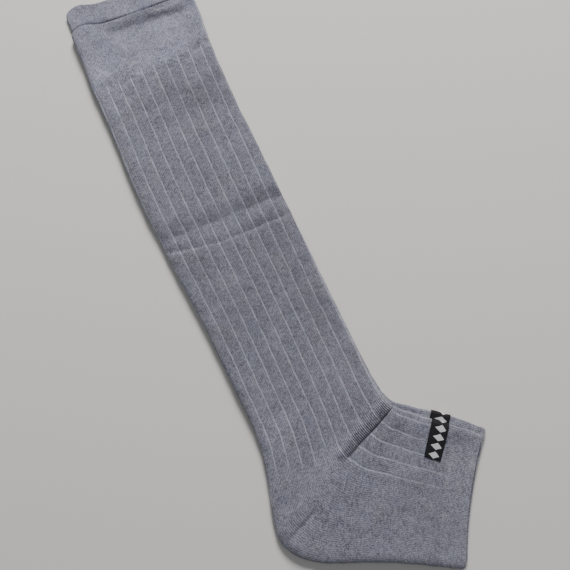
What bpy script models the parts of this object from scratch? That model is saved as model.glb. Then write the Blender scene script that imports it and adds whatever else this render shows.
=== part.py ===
"""A pair of grey calf socks with open toes, laid flat and stacked, the upper sock on the lower one.

Each sock is a knitted tube pressed flat: two panels that lie on each other and meet in a round fold
at the front (shin and instep) and at the back (calf, heel and sole). A tube is lofted through
sections. A section is a straight line in plan, from the front fold to the back fold, and the sections
run down the leg, fan out round the heel and go on to the open toe.

Plan sizes are in millimetres in the leg's own axes: x runs from the back fold to the front fold and
y runs up the leg. PLAN_CENTRE moves them so that the origin is under the middle of the pair.
"""

import bpy
import numpy as np

MM = 0.001
PLAN_CENTRE = (46.2, 117.033)

# Cloth
SLIT = 0.4  # open space between the two panels of a flat tube
FOLD_WALL = 1.0  # thickness of the cloth where it turns at a fold
RIB_RISE = 0.3  # how far the flat wales stand above the dropped stitches between them
STACK_GAP = 0.3  # between the lower sock and the upper one
SEAM_GAP = 0.3  # between two pieces of one sock
LABEL_GAP = 0.3
LABEL_THICKNESS = 0.5

# Mesh density round a section
FOLD_STEPS = 4  # straight steps round each fold
PLAIN_COLUMNS = 8  # across a plain panel
UNDER_COLUMNS = 5  # across the flat underside

# Sections of the upper sock, as it lies. The bow moves the middle of a section towards the toe, the
# hump moves the part of it near the back fold, and rows is the number of mesh rows to the next one.
SECTION_COLUMNS = ("front_x", "front_y", "back_x", "back_y", "bow", "hump", "rows")
SECTIONS = (
    ("cuff_top", 69.6, 307.0, -10.8, 315.6, 0.8, -2.8, 3),
    ("cuff_middle", 68.9, 291.5, -12.0, 296.0, 0.0, -0.4, 3),
    ("cuff_seam", 66.9, 275.0, -13.4, 276.5, 0.0, 0.0, 2),
    ("leg_top", 66.2, 252.0, -13.9, 253.0, 0.0, 0.0, 3),
    ("calf_high", 65.8, 225.0, -15.7, 225.0, 0.0, 0.0, 3),
    ("calf", 66.4, 196.0, -16.4, 196.0, 0.0, 0.0, 2),
    ("above_fold", 66.8, 180.0, -16.1, 180.0, 0.0, 0.0, 10),
    ("below_fold", 67.0, 151.0, -15.3, 151.0, 0.0, 0.0, 2),
    ("shin", 67.4, 127.0, -14.0, 127.0, 0.0, 0.0, 2),
    ("shin_low", 67.6, 102.0, -13.5, 102.0, 0.0, 0.0, 2),
    ("above_ankle", 67.9, 76.0, -13.2, 76.0, 0.0, 0.0, 2),
    ("ankle_start", 68.3, 52.0, -12.9, 50.0, 0.0, 0.0, 2),
    ("ankle_top", 68.5, 38.0, -14.0, 30.0, 0.0, 0.0, 4),
    ("heel_top", 69.5, 28.5, -18.9, 7.5, 0.0, 0.0, 4),
    ("heel_back", 70.9, 22.8, -24.6, -10.0, 0.0, 0.0, 4),
    ("ankle", 72.6, 18.2, -28.2, -26.0, 0.0, 0.0, 4),
    ("heel_turn", 74.6, 15.8, -25.8, -37.5, 0.0, 0.0, 3),
    ("heel_under", 77.0, 13.2, -18.6, -47.4, 0.0, 0.0, 2),
    ("heel_front", 80.0, 10.2, -8.6, -54.6, 0.0, 0.0, 2),
    ("foot_back", 83.6, 6.6, 3.6, -60.3, 0.0, 0.0, 2),
    ("foot_middle", 88.0, 2.4, 16.8, -66.3, 0.0, 0.0, 2),
    ("foot_front", 93.4, -2.6, 32.0, -73.7, 0.0, 0.0, 2),
    ("foot_end", 97.8, -6.6, 44.5, -80.7, -0.4, 0.0, 2),
    ("toe_seam", 100.9, -9.4, 55.2, -87.4, -1.0, 0.0, 2),
    ("toe_middle", 108.8, -16.6, 63.0, -91.9, -1.8, 0.0, 2),
    ("toe_edge", 116.4, -23.4, 70.2, -96.1, -3.2, 0.0, 0),
)
HUMP_PLACE = 0.88  # fraction of the section from the front fold
HUMP_WIDTH = 0.09

# How the lower sock's folds lie beside the upper one's.
SHIFT_COLUMNS = ("front_dx", "front_dy", "back_dx", "back_dy")
LOWER_SHIFT = (
    ("cuff_top", -1.1, 15.0, 2.0, 13.8),
    ("cuff_seam", -0.6, 14.0, 1.0, 14.0),
    ("calf", -0.4, 8.0, 0.8, 8.0),
    ("above_ankle", 0.1, 3.0, 0.9, 3.0),
    ("ankle_top", 0.6, 1.2, 1.2, 2.0),
    ("ankle", 1.3, 1.4, 2.6, 2.2),
    ("heel_under", 1.9, 1.9, 2.6, 3.2),
    ("foot_back", 2.5, 2.7, 1.6, 3.2),
    ("foot_front", 3.4, 3.6, 1.6, 3.0),
    ("toe_seam", 3.9, 3.5, 2.8, 2.6),
    ("toe_edge", 4.2, 2.0, 2.8, 2.4),
)

# The dropped-stitch ribs: where the rib on the front fold lies, and how far apart the ribs are, both
# as fractions of a section. The ribs behind the middle stop above the heel.
RIB_COLUMNS = ("first", "pitch")
RIB_PLACES = (
    ("cuff_seam", -0.017, 0.100),
    ("calf_high", -0.017, 0.100),
    ("shin_low", 0.014, 0.0985),
    ("ankle_start", 0.012, 0.0985),
    ("ankle", 0.000, 0.094),
    ("foot_middle", 0.027, 0.100),
    ("toe_seam", 0.027, 0.100),
)
PANEL_RIBS = range(1, 10)
LAST_FOOT_RIB = 4
RIB_HALF_WIDTH = 0.11  # of the pitch

# Folds of the upper sock's top panel: a straight ridge from one point to another.
FOLD_COLUMNS = ("x1", "y1", "x2", "y2", "height", "half_width")
FOLDS = (
    ("soft_band", -12.0, 252.0, 66.0, 251.0, 0.35, 7.0),
    ("calf_fold_high", -13.0, 170.5, 67.0, 171.0, 0.75, 2.4),
    ("calf_fold_low", -14.0, 163.0, 67.0, 156.0, 0.60, 2.6),
    ("ankle_roll", 74.0, 23.5, 30.0, 4.5, 2.00, 3.6),
    ("instep_puff", 77.0, 11.5, 40.0, -5.5, 0.80, 4.0),
    ("heel_roll", -24.0, -23.0, 3.0, -14.5, 1.00, 3.6),
    ("heel_puff", -22.0, -35.0, 2.0, -27.0, 0.55, 3.6),
)
FOLD_END = 7.0  # length over which a ridge runs out at its ends

# Pieces of a sock, with the thickness of the upper sock's top and under panels.
PIECES = (
    ("cuff", "cuff_top", "cuff_seam", 1.4, 1.1),
    ("leg_foot", "cuff_seam", "toe_seam", 1.3, 1.0),
    ("toe_band", "toe_seam", "toe_edge", 1.4, 1.0),
)
LOWER_WALL = 1.0
LOWER_HEIGHT = LOWER_WALL + SLIT + LOWER_WALL
UPPER_BASE = LOWER_HEIGHT + STACK_GAP

# The label lies along the toe seam, from the instep fold inwards, and turns down over the fold.
LABEL_AT_FOLD = (20.64, 22.80)  # section numbers of its two sides at the fold
LABEL_INSIDE = (20.86, 22.26)  # and at its inner end
LABEL_LENGTH = 23.6  # from the fold inwards
LOWER_LABEL_LENGTH = 4.5  # up to the upper sock's edge, which covers the rest of it
LABEL_ROWS = 5
LABEL_COLUMNS = 7

GREY = (0.195, 0.197, 0.232, 1.0)
PALE_GREY = (0.245, 0.247, 0.280, 1.0)
BLACK = (0.012, 0.012, 0.014, 1.0)

ROW_NAMES = [row[0] for row in SECTIONS]


def table(rows, columns):
    """The numbers of a table as an array, one line a row, without the names."""
    return np.array([row[1:] for row in rows], dtype=float)[:, : len(columns)]


def number_of(name):
    """The section number of a named section."""
    return float(ROW_NAMES.index(name))


def spread(rows, columns, where):
    """A short table's columns at any section number, in straight lines between its rows."""
    places = [number_of(row[0]) for row in rows]
    values = table(rows, columns)
    return np.stack([np.interp(where, places, column) for column in values.T], axis=1)


def smooth(values, where):
    """A Catmull-Rom curve through the rows of a table: each stretch leaves along its neighbours."""
    last = len(values) - 1
    ends = np.vstack([2 * values[0] - values[1], values, 2 * values[-1] - values[-2]])
    low = np.clip(np.floor(where).astype(int), 0, last - 1)
    t = (where - low)[:, None]
    before, start, end, after = (ends[low + step] for step in range(4))
    bend = 2 * before - 5 * start + 4 * end - after
    twist = 3 * (start - end) + after - before
    return start + 0.5 * t * ((end - before) + t * (bend + t * twist))


def sections(where, lower):
    """The front fold, the back fold, the bow and the hump of the sections at these numbers."""
    values = smooth(table(SECTIONS, SECTION_COLUMNS), where)
    front, back, bow, hump = values[:, 0:2], values[:, 2:4], values[:, 4], values[:, 5]
    if lower:
        shift = spread(LOWER_SHIFT, SHIFT_COLUMNS, where)
        front = front + shift[:, 0:2]
        back = back + shift[:, 2:4]
    return front, back, bow, hump


def plan(where, distance, lower):
    """Points in plan: so far from the front fold along a section, then moved by its bow and hump."""
    front, back, bow, hump = sections(where, lower)
    line = back - front
    width = np.linalg.norm(line, axis=1)[:, None]
    along = line / width
    to_toe = np.stack([-along[:, 1], along[:, 0]], axis=1)
    part = distance / width
    lift = np.exp(-(((part - HUMP_PLACE) / HUMP_WIDTH) ** 2))
    move = bow[:, None] * 4 * part * (1 - part) + hump[:, None] * lift
    flat = front[:, None] + along[:, None] * distance[..., None] + to_toe[:, None] * move[..., None]
    return flat[..., 0], flat[..., 1]


def widths(where, lower):
    """The length of each section, from fold to fold."""
    front, back, _, _ = sections(where, lower)
    return np.linalg.norm(back - front, axis=1)


def fold_height(x, y):
    """The ridges at each point: each is a soft bell across its line that runs out at its ends."""
    height = np.zeros_like(x)
    for x1, y1, x2, y2, rise, half_width in table(FOLDS, FOLD_COLUMNS):
        length = np.hypot(x2 - x1, y2 - y1)
        ux, uy = (x2 - x1) / length, (y2 - y1) / length
        along = (x - x1) * ux + (y - y1) * uy
        across = (y - y1) * ux - (x - x1) * uy
        beyond = np.maximum(0, np.maximum(-along, along - length)) / FOLD_END
        height += rise * np.exp(-((across / half_width) ** 2) - (2 * beyond) ** 2)
    return height


def rib_columns():
    """Columns of the ribbed panel, counted in ribs from the front fold, and which of them dip."""
    places, dips = [], []
    for rib in PANEL_RIBS:
        places += [rib - 0.5, rib - RIB_HALF_WIDTH, rib, rib + RIB_HALF_WIDTH]
        dips += [0, 0, 1, 0]
    return np.array(places), np.array(dips)


def rib_fade(where, places):
    """1 where a rib runs and 0 where it has stopped: behind the middle the ribs end at the heel."""
    heel = np.clip((number_of("heel_top") + 0.8 - where) / 0.8, 0, 1)[:, None]
    return np.where(places[None] < LAST_FOOT_RIB + 0.5, 1.0, heel)


class Tube:
    """One flat tube, from one section to another, as an outer and an inner skin."""

    def __init__(self, first, last, lower, base, top_wall, under_wall, ribbed):
        self.where = mesh_rows(first, last, lower)
        self.lower, self.base = lower, base
        self.top_wall, self.under_wall = top_wall, under_wall
        self.width = widths(self.where, lower)[:, None]
        rows = len(self.where)
        if ribbed:
            place, dip = rib_columns()
            ribs = spread(RIB_PLACES, RIB_COLUMNS, self.where)
            part = ribs[:, :1] + ribs[:, 1:] * place[None]
            self.dip = RIB_RISE * dip[None] * rib_fade(self.where, place)
        else:
            part = np.repeat(np.linspace(0.02, 0.98, PLAIN_COLUMNS)[None], rows, axis=0)
            self.dip = np.zeros_like(part)
        self.part = part

    def height(self, x, y):
        """The height of the tube's top above its base, without the ribs."""
        flat = self.under_wall + SLIT + self.top_wall
        return np.full_like(x, flat) if self.lower else flat + fold_height(x, y)

    def skin(self, inset, shave_top, shave_under, dip, part, turns):
        """One loop for each section: the top panel, the back fold, the underside, the front fold.

        The loop lies inset from the folds, and shaved from the top and from the underside. The
        folds are half ellipses, with the given angles above the level of their middle.
        """
        thickness = self.under_wall + SLIT + self.top_wall
        radius = np.full_like(self.width, (thickness - shave_top - shave_under) / 2)
        near = inset + radius
        far = self.width - near
        top = np.clip(part * self.width, near + 0.4, far - 0.4)
        front = near - radius * np.cos(turns)[None]
        back = far + radius * np.cos(turns[::-1])[None]
        under = far + (near - far) * np.linspace(0, 1, UNDER_COLUMNS)[None, 1:-1]
        distance = np.concatenate([top, back, under, front], axis=1)
        x, y = plan(self.where, distance, self.lower)
        level = np.concatenate([np.ones(top.shape[1]), self.levels(turns[::-1])])
        level = np.concatenate([level, np.zeros(under.shape[1]), self.levels(turns)])
        low = self.base + shave_under
        high = self.base + self.height(x, y) - shave_top
        z = low + (high - low) * level[None]
        z[:, : top.shape[1]] -= dip
        return np.stack([x, y, z], axis=2)

    @staticmethod
    def levels(turns):
        """How high each angle of a fold lies, from 0 at the underside to 1 at the top."""
        return (1 + np.sin(turns)) / 2

    def mesh(self, name):
        """The wall between the two skins, closed by a rim at each end."""
        steps = np.linspace(-np.pi / 2, np.pi / 2, FOLD_STEPS + 1)
        outer = self.skin(0.0, 0.0, 0.0, self.dip, self.part, steps)
        keep = np.flatnonzero(inner_columns(self.part.shape[1], len(steps)))
        whole = self.skin(FOLD_WALL, self.top_wall, self.under_wall, 0.0, self.part, steps)
        return walled_mesh(name, outer, whole[:, keep], keep)


def inner_columns(panel, fold):
    """The columns of the outer loop that the plain inner loop has too."""
    top = np.arange(panel) % 4 == 0 if panel > PLAIN_COLUMNS else np.arange(panel) % 2 == 0
    turn = np.arange(fold) % 2 == 0
    return np.concatenate([top, turn, np.ones(UNDER_COLUMNS - 2, dtype=bool), turn])


def walled_mesh(name, outer, inner, keep):
    """A mesh of two skins, each a grid of closed loops, and a rim of flat faces at each end."""
    rows, around, _ = outer.shape
    inside = inner.shape[1]
    points = np.concatenate([outer.reshape(-1, 3), inner.reshape(-1, 3)])
    start = rows * around
    faces = []
    for row in range(rows - 1):
        for i in range(around):
            j = (i + 1) % around
            low, high = row * around, (row + 1) * around
            faces.append((low + i, low + j, high + j, high + i))
        for i in range(inside):
            j = (i + 1) % inside
            low, high = start + row * inside, start + (row + 1) * inside
            faces.append((low + i, high + i, high + j, low + j))
    for row, forward in ((0, False), (rows - 1, True)):
        for i in range(inside):
            j = (i + 1) % inside
            span = np.arange(keep[i], keep[j] + (around if j == 0 else 0) + 1) % around
            rim = [row * around + int(column) for column in span]
            rim += [start + row * inside + j, start + row * inside + i]
            faces.append(tuple(rim if forward else rim[::-1]))
    return new_mesh(name, points, faces)


def new_mesh(name, points, faces):
    """A mesh from plan points in millimetres."""
    offset = np.array([PLAN_CENTRE[0], PLAN_CENTRE[1], 0.0])
    mesh = bpy.data.meshes.new(name)
    mesh.from_pydata(((points - offset) * MM).tolist(), [], faces)
    mesh.validate()
    return mesh


def mesh_rows(first, last, lower):
    """Section numbers of a piece's rows, which start and end half a seam's gap inside it."""
    counts = table(SECTIONS, SECTION_COLUMNS)[:, 6].astype(int)
    a, b = int(number_of(first)), int(number_of(last))
    rows = [number + np.arange(counts[number]) / counts[number] for number in range(a, b)]
    rows = np.concatenate(rows + [np.array([float(b)])])
    if first != ROW_NAMES[0]:
        rows[0] += SEAM_GAP / 2 / slowest(rows[0], lower)
    if last != ROW_NAMES[-1]:
        rows[-1] -= SEAM_GAP / 2 / slowest(rows[-1], lower)
    return rows


def slowest(where, lower):
    """Millimetres for each section number at this place, at whichever fold moves less."""
    pair = np.array([where - 0.1, where + 0.1])
    front, back, _, _ = sections(pair, lower)
    return min(np.linalg.norm(front[1] - front[0]), np.linalg.norm(back[1] - back[0])) / 0.2


def label_mesh(name, length, lower, base, height, lowest_turn):
    """A patch lifted off the top panel, which then turns down over the instep fold."""
    radius = height / 2
    lift = LABEL_GAP
    inwards = np.linspace(length, radius, LABEL_COLUMNS)
    turns = np.linspace(np.pi / 2, lowest_turn, FOLD_STEPS + 1)[1:]
    distance = np.concatenate([inwards, radius - (radius + lift) * np.cos(turns)])
    z = np.full(LABEL_COLUMNS, base + height + lift)
    z = np.concatenate([z, base + radius + (radius + lift) * np.sin(turns)])
    reach = np.clip(distance / LABEL_LENGTH, 0, 1)
    points = []
    for side in np.linspace(0, 1, LABEL_ROWS):
        at_fold = LABEL_AT_FOLD[0] + side * (LABEL_AT_FOLD[1] - LABEL_AT_FOLD[0])
        inside = LABEL_INSIDE[0] + side * (LABEL_INSIDE[1] - LABEL_INSIDE[0])
        where = at_fold + (inside - at_fold) * reach
        x, y = plan(where, distance[:, None], lower)
        points.append(np.stack([x[:, 0], y[:, 0], z], axis=1))
    columns = len(distance)
    faces = []
    for row in range(LABEL_ROWS - 1):
        for i in range(columns - 1):
            low, high = row * columns + i, (row + 1) * columns + i
            faces.append((low, high, high + 1, low + 1))
    return new_mesh(name, np.concatenate(points), faces)


def knit(name, colour, roughness):
    """A cloth material of its own for one piece."""
    material = bpy.data.materials.new(name)
    material.use_nodes = True
    shader = material.node_tree.nodes["Principled BSDF"]
    shader.inputs["Base Color"].default_value = colour
    shader.inputs["Roughness"].default_value = roughness
    shader.inputs["Metallic"].default_value = 0.0
    return material


def add_object(name, mesh, colour, roughness, collection):
    """An object for a mesh, in the pair's collection, shaded smooth but for its real edges."""
    piece = bpy.data.objects.new(name, mesh)
    mesh.materials.append(knit(name + "_knit", colour, roughness))
    mesh.shade_smooth()
    mesh.set_sharp_from_angle(angle=np.radians(40))
    collection.objects.link(piece)
    return piece


def add_sock(side, collection):
    """The three pieces and the label of the upper or the lower sock."""
    lower = side == "lower"
    base = 0.0 if lower else UPPER_BASE
    for piece, first, last, top_wall, under_wall in PIECES:
        if lower:
            top_wall = under_wall = LOWER_WALL
        ribbed = piece == "leg_foot" and not lower
        tube = Tube(first, last, lower, base, top_wall, under_wall, ribbed)
        name = side + "_" + piece
        colour = PALE_GREY if piece == "cuff" else GREY
        add_object(name, tube.mesh(name), colour, 0.92, collection)
    _, _, _, top_wall, under_wall = PIECES[1]
    height = LOWER_HEIGHT if lower else under_wall + SLIT + top_wall
    length = LOWER_LABEL_LENGTH if lower else LABEL_LENGTH
    lowest_turn = np.radians(-30 if lower else -8)
    mesh = label_mesh(side + "_label", length, lower, base, height, lowest_turn)
    label = add_object(side + "_label", mesh, BLACK, 0.85, collection)
    thicken = label.modifiers.new("thickness", "SOLIDIFY")
    thicken.thickness = LABEL_THICKNESS * MM
    thicken.offset = 1.0


def main():
    for old in list(bpy.data.objects):
        bpy.data.objects.remove(old, do_unlink=True)
    collection = bpy.data.collections.new("pair_of_calf_socks")
    bpy.context.scene.collection.children.link(collection)
    add_sock("lower", collection)
    add_sock("upper", collection)


main()
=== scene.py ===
# %% [markdown]
# # A pair of calf socks, knitted in the round and laid flat
#
# The packed model gives the sizes and the frame: metres, +Z up, with the socks lying on the floor at
# z = 0 and their legs along +Y. Everything below dresses those solids, which we load first.

# %% Load the frame
from collections import namedtuple

import bpy
import numpy as np
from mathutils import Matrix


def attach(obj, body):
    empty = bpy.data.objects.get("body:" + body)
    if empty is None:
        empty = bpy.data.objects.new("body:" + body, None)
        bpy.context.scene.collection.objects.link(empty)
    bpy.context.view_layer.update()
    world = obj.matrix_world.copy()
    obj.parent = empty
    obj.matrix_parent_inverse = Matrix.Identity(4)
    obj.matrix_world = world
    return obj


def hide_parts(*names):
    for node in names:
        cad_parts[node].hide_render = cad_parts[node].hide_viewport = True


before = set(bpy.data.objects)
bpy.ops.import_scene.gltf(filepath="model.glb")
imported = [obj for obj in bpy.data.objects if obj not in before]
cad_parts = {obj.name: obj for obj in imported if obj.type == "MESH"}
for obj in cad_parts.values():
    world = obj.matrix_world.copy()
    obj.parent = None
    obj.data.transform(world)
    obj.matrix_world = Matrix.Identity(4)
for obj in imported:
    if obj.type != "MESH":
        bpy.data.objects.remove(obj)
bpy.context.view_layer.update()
print("solids:", sorted(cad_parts))

# %% [markdown]
# ## The outline, section by section
#
# A sock that lies flat is a tube pressed into two panels, which meet in a round fold at the shin and
# at the calf. We describe it by sections: straight lines from the front fold to the back fold, one
# below the other down the leg, fanning out round the heel. A curve through a short table of them is
# enough for the whole outline, and it is the same table that the solids are made from. Sizes here are
# millimetres in the leg's own axes, because that is how a knitter would measure a sock. A bow curves
# the middle of a section towards the toe, and a hump does the same near its back end only.

# %% The table of sections
MM = 0.001
PLAN_CENTRE = np.array([46.2, 117.033])  # the middle of the pair, which becomes the origin
SECTIONS = (
    # name, front x, front y, back x, back y, bow, hump
    ("cuff_top", 69.6, 307.0, -10.8, 315.6, 0.8, -2.8),
    ("cuff_middle", 68.9, 291.5, -12.0, 296.0, 0.0, -0.4),
    ("cuff_seam", 66.9, 275.0, -13.4, 276.5, 0.0, 0.0),
    ("leg_top", 66.2, 252.0, -13.9, 253.0, 0.0, 0.0),
    ("calf_high", 65.8, 225.0, -15.7, 225.0, 0.0, 0.0),
    ("calf", 66.4, 196.0, -16.4, 196.0, 0.0, 0.0),
    ("above_fold", 66.8, 180.0, -16.1, 180.0, 0.0, 0.0),
    ("below_fold", 67.0, 151.0, -15.3, 151.0, 0.0, 0.0),
    ("shin", 67.4, 127.0, -14.0, 127.0, 0.0, 0.0),
    ("shin_low", 67.6, 102.0, -13.5, 102.0, 0.0, 0.0),
    ("above_ankle", 67.9, 76.0, -13.2, 76.0, 0.0, 0.0),
    ("ankle_start", 68.3, 52.0, -12.9, 50.0, 0.0, 0.0),
    ("ankle_top", 68.5, 38.0, -14.0, 30.0, 0.0, 0.0),
    ("heel_top", 69.5, 28.5, -18.9, 7.5, 0.0, 0.0),
    ("heel_back", 70.9, 22.8, -24.6, -10.0, 0.0, 0.0),
    ("ankle", 72.6, 18.2, -28.2, -26.0, 0.0, 0.0),
    ("heel_turn", 74.6, 15.8, -25.8, -37.5, 0.0, 0.0),
    ("heel_under", 77.0, 13.2, -18.6, -47.4, 0.0, 0.0),
    ("heel_front", 80.0, 10.2, -8.6, -54.6, 0.0, 0.0),
    ("foot_back", 83.6, 6.6, 3.6, -60.3, 0.0, 0.0),
    ("foot_middle", 88.0, 2.4, 16.8, -66.3, 0.0, 0.0),
    ("foot_front", 93.4, -2.6, 32.0, -73.7, 0.0, 0.0),
    ("foot_end", 97.8, -6.6, 44.5, -80.7, -0.4, 0.0),
    ("toe_seam", 100.9, -9.4, 55.2, -87.4, -1.0, 0.0),
    ("toe_middle", 108.8, -16.6, 63.0, -91.9, -1.8, 0.0),
    ("toe_edge", 116.4, -23.4, 70.2, -96.1, -3.2, 0.0),
)
NAMES = [row[0] for row in SECTIONS]
print("sections:", len(SECTIONS), "from", NAMES[0], "to", NAMES[-1])

# %% [markdown]
# ## Reading the tables
#
# A table's first column names the section that a row belongs to, so we can count in section numbers
# everywhere. Between its rows a table is read in one of two ways: in straight lines, which is safe
# for shifts and fades, or along a Catmull-Rom curve, which passes through every row without a corner.

# %% Helpers that read a table
def rows_of(table):
    """A table's numbers as an array, without the names."""
    return np.array([row[1:] for row in table], dtype=float)


def number_of(name):
    """The section number of a named section."""
    return float(NAMES.index(name))


def spread(table, where):
    """Columns of a short table at any section number, in straight lines between its rows."""
    places = [number_of(row[0]) for row in table]
    return np.stack([np.interp(where, places, column) for column in rows_of(table).T], axis=1)


def smooth(values, where):
    """Catmull-Rom: each stretch between two rows is a cubic that leaves along its neighbours."""
    last = len(values) - 1
    ends = np.vstack([2 * values[0] - values[1], values, 2 * values[-1] - values[-2]])
    low = np.clip(np.floor(where).astype(int), 0, last - 1)
    t = (where - low)[:, None]
    before, start, end, after = (ends[low + step] for step in range(4))
    bend = 2 * before - 5 * start + 4 * end - after
    twist = 3 * (start - end) + after - before
    return start + 0.5 * t * ((end - before) + t * (bend + t * twist))


print("the heel turns at section", number_of("ankle"), "of", len(NAMES) - 1)

# %% [markdown]
# ## Nothing is ruled
#
# Knitted edges wander, and so do creases. A random walk would look torn, and a single sine would look
# like a wave. Two or three sines of unlike lengths never seem to repeat, and they give the same cloth
# on every run. One small function serves for everything here that wavers.

# %% A wobble
FOLD_WAVER = (
    # size in mm, turn for each section, share of the phase
    (0.14, 2.3, 1),
    (0.084, 5.1, 2),
    (0.07, 9.7, 3),
)


def wobble(where, phase, waves, start=0.0):
    """A start value plus a sum of sines: size * sin(turn * where + share * phase) for each wave."""
    total = start
    for size, turn, share in waves:
        total = total + size * np.sin(turn * where + share * phase)
    return total


fold = wobble(np.linspace(0, number_of("toe_edge"), 200), 0.0, FOLD_WAVER)
print("a fold wavers, mm:", fold.min().round(2), "to", fold.max().round(2))

# %% [markdown]
# ## The folds of both socks
#
# The second sock lies under the first, 14 mm further up at the cuff and a few millimetres out at the
# instep, so its sections are the same ones, moved by a short table of shifts. Each fold also wavers,
# and the two folds of two socks get four different phases, so that no two edges run alike.

# %% Folds of both socks
LOWER_SHIFT = (
    # name, front dx, front dy, back dx, back dy
    ("cuff_top", -1.1, 15.0, 2.0, 13.8),
    ("cuff_seam", -0.6, 14.0, 1.0, 14.0),
    ("calf", -0.4, 8.0, 0.8, 8.0),
    ("above_ankle", 0.1, 3.0, 0.9, 3.0),
    ("ankle_top", 0.6, 1.2, 1.2, 2.0),
    ("ankle", 1.3, 1.4, 2.6, 2.2),
    ("heel_under", 1.9, 1.9, 2.6, 3.2),
    ("foot_back", 2.5, 2.7, 1.6, 3.2),
    ("foot_front", 3.4, 3.6, 1.6, 3.0),
    ("toe_seam", 3.9, 3.5, 2.8, 2.6),
    ("toe_edge", 4.2, 2.0, 2.8, 2.4),
)
UPPER_PHASE = 0.4
LOWER_PHASE = 1.7
BACK_PHASE = 2.0  # how far the back fold's phase is ahead of the front fold's


def sections(where, lower):
    """Front fold, back fold, bow and hump of the sections at these numbers."""
    values = smooth(rows_of(SECTIONS), where)
    front, back, bow, hump = values[:, 0:2], values[:, 2:4], values[:, 4], values[:, 5]
    if lower:
        shift = spread(LOWER_SHIFT, where)
        front = front + shift[:, 0:2]
        back = back + shift[:, 2:4]
    along = (back - front) / np.linalg.norm(back - front, axis=1)[:, None]
    phase = LOWER_PHASE if lower else UPPER_PHASE
    front = front + along * wobble(where, phase, FOLD_WAVER)[:, None]
    back = back + along * wobble(where, phase + BACK_PHASE, FOLD_WAVER)[:, None]
    return front, back, bow, hump


def widths(where, lower):
    """The length of each section, from fold to fold."""
    front, back, _, _ = sections(where, lower)
    return np.linalg.norm(back - front, axis=1)


CALF = np.array([number_of("calf")])
print("width at the calf, mm:", widths(CALF, False).round(1))

# %% [markdown]
# ## Lengths down a sock
#
# Many things are told by how far they lie from an open end: rounded corners, seams, the first stitches
# of a rib. Section numbers are not millimetres, so we walk down the middle of the panel in small steps
# and add them up. That is a sum over a line of points, and it is exact enough at 800 of them.

# %% Distances from the open ends
LENGTH_SAMPLES = 800


def middle_steps(where, lower):
    """The distances between neighbouring sections, along the middle of the panel."""
    front, back, _, _ = sections(where, lower)
    return np.linalg.norm(np.diff((front + back) / 2, axis=0), axis=1)


def end_distance(where, lower):
    """How far each section lies from the cuff's end and from the toe's end, in millimetres."""
    dense = np.linspace(0, number_of("toe_edge"), LENGTH_SAMPLES)
    run = np.concatenate([[0], np.cumsum(middle_steps(dense, lower))])
    here = np.interp(where, dense, run)
    return here, run[-1] - here


SEAMS = np.array([number_of("cuff_seam"), number_of("toe_seam")])
print("seams of the upper sock, mm from the cuff's end:", end_distance(SEAMS, False)[0].round(1))

# %% [markdown]
# ## From a section to points in plan
#
# Every point of the cloth has a section number and a distance from the front fold. `plan` turns the
# pair into x and y: along the section for the distance, and then across it for the bow, the hump and
# the corners. A turned welt's corners are never square, so the last millimetres of an open end are
# pulled back near both folds.

# %% Plan of the cloth
HUMP_PLACE = 0.88  # of the section, from the front fold
HUMP_WIDTH = 0.09
CORNER_RADIUS = 4.0
CORNER_FADE = 7.0  # mm from the open end
CUFF_CORNER = 0.9
TOE_CORNER = 0.45


def bell(distance, half_width):
    """A soft bell: exp(-(distance / half width)^2), so 1 on its line and near 0 two widths away."""
    return np.exp(-((distance / half_width) ** 2))


def arch(part):
    """A low arch, 4 * part * (1 - part): 0 at both ends of a line and 1 in its middle."""
    return 4 * part * (1 - part)


def plan(where, distance, lower):
    """x and y of points so far from the front fold, moved by the bow, the hump and the corners.

    A corner is a quarter circle, radius * (1 - sqrt(1 - edge^2)), with edge from 1 on a fold to 0
    one radius away from it, and it fades out in a straight line from the open end.
    """
    front, back, bow, hump = sections(where, lower)
    width = np.linalg.norm(back - front, axis=1)[:, None]
    along = (back - front) / width
    to_toe = np.stack([-along[:, 1], along[:, 0]], axis=1)
    part = distance / width
    move = bow[:, None] * arch(part) + hump[:, None] * bell(part - HUMP_PLACE, HUMP_WIDTH)
    edge = np.clip(1 - np.minimum(distance, width - distance) / CORNER_RADIUS, 0, 1)
    corner = CORNER_RADIUS * (1 - np.sqrt(1 - edge**2))
    from_cuff, from_toe = end_distance(where, lower)
    cuff_pull = np.clip(1 - from_cuff / CORNER_FADE, 0, 1)[:, None]
    toe_pull = np.clip(1 - from_toe / CORNER_FADE, 0, 1)[:, None]
    move = move + corner * (CUFF_CORNER * cuff_pull - TOE_CORNER * toe_pull)
    x = front[:, :1] + along[:, :1] * distance + to_toe[:, :1] * move
    y = front[:, 1:] + along[:, 1:] * distance + to_toe[:, 1:] * move
    return x, y


calf_x, calf_y = plan(CALF, np.array([[40.0]]), False)
print("40 mm in from the shin, at the calf, mm:", calf_x.round(1), calf_y.round(1))

# %% [markdown]
# ## A line on the cloth
#
# A crease or a roll lies along a line, so we first need each point's place beside a line: how far
# along it and how far across it. Turning x and y by the line's own direction gives both, for all the
# points at once. A third value fades a form out past the line's ends, so that none stops short.

# %% Beside a line
END_FADE = 5.0  # mm past the ends of a line


def line_frame(x, y, x1, y1, x2, y2):
    """Share of the way along a line, distance across it, and a fade past its ends."""
    length = np.hypot(x2 - x1, y2 - y1)
    ux, uy = (x2 - x1) / length, (y2 - y1) / length
    along = (x - x1) * ux + (y - y1) * uy
    across = (y - y1) * ux - (x - x1) * uy
    beyond = np.maximum(0, np.maximum(-along, along - length))
    return along / length, across, bell(beyond, END_FADE)


share, across, fade = line_frame(20.0, 5.0, 0.0, 0.0, 10.0, 0.0)
print("20 mm along and 5 mm above a line of 10 mm:", share, across, "fade", fade.round(2))
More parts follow.
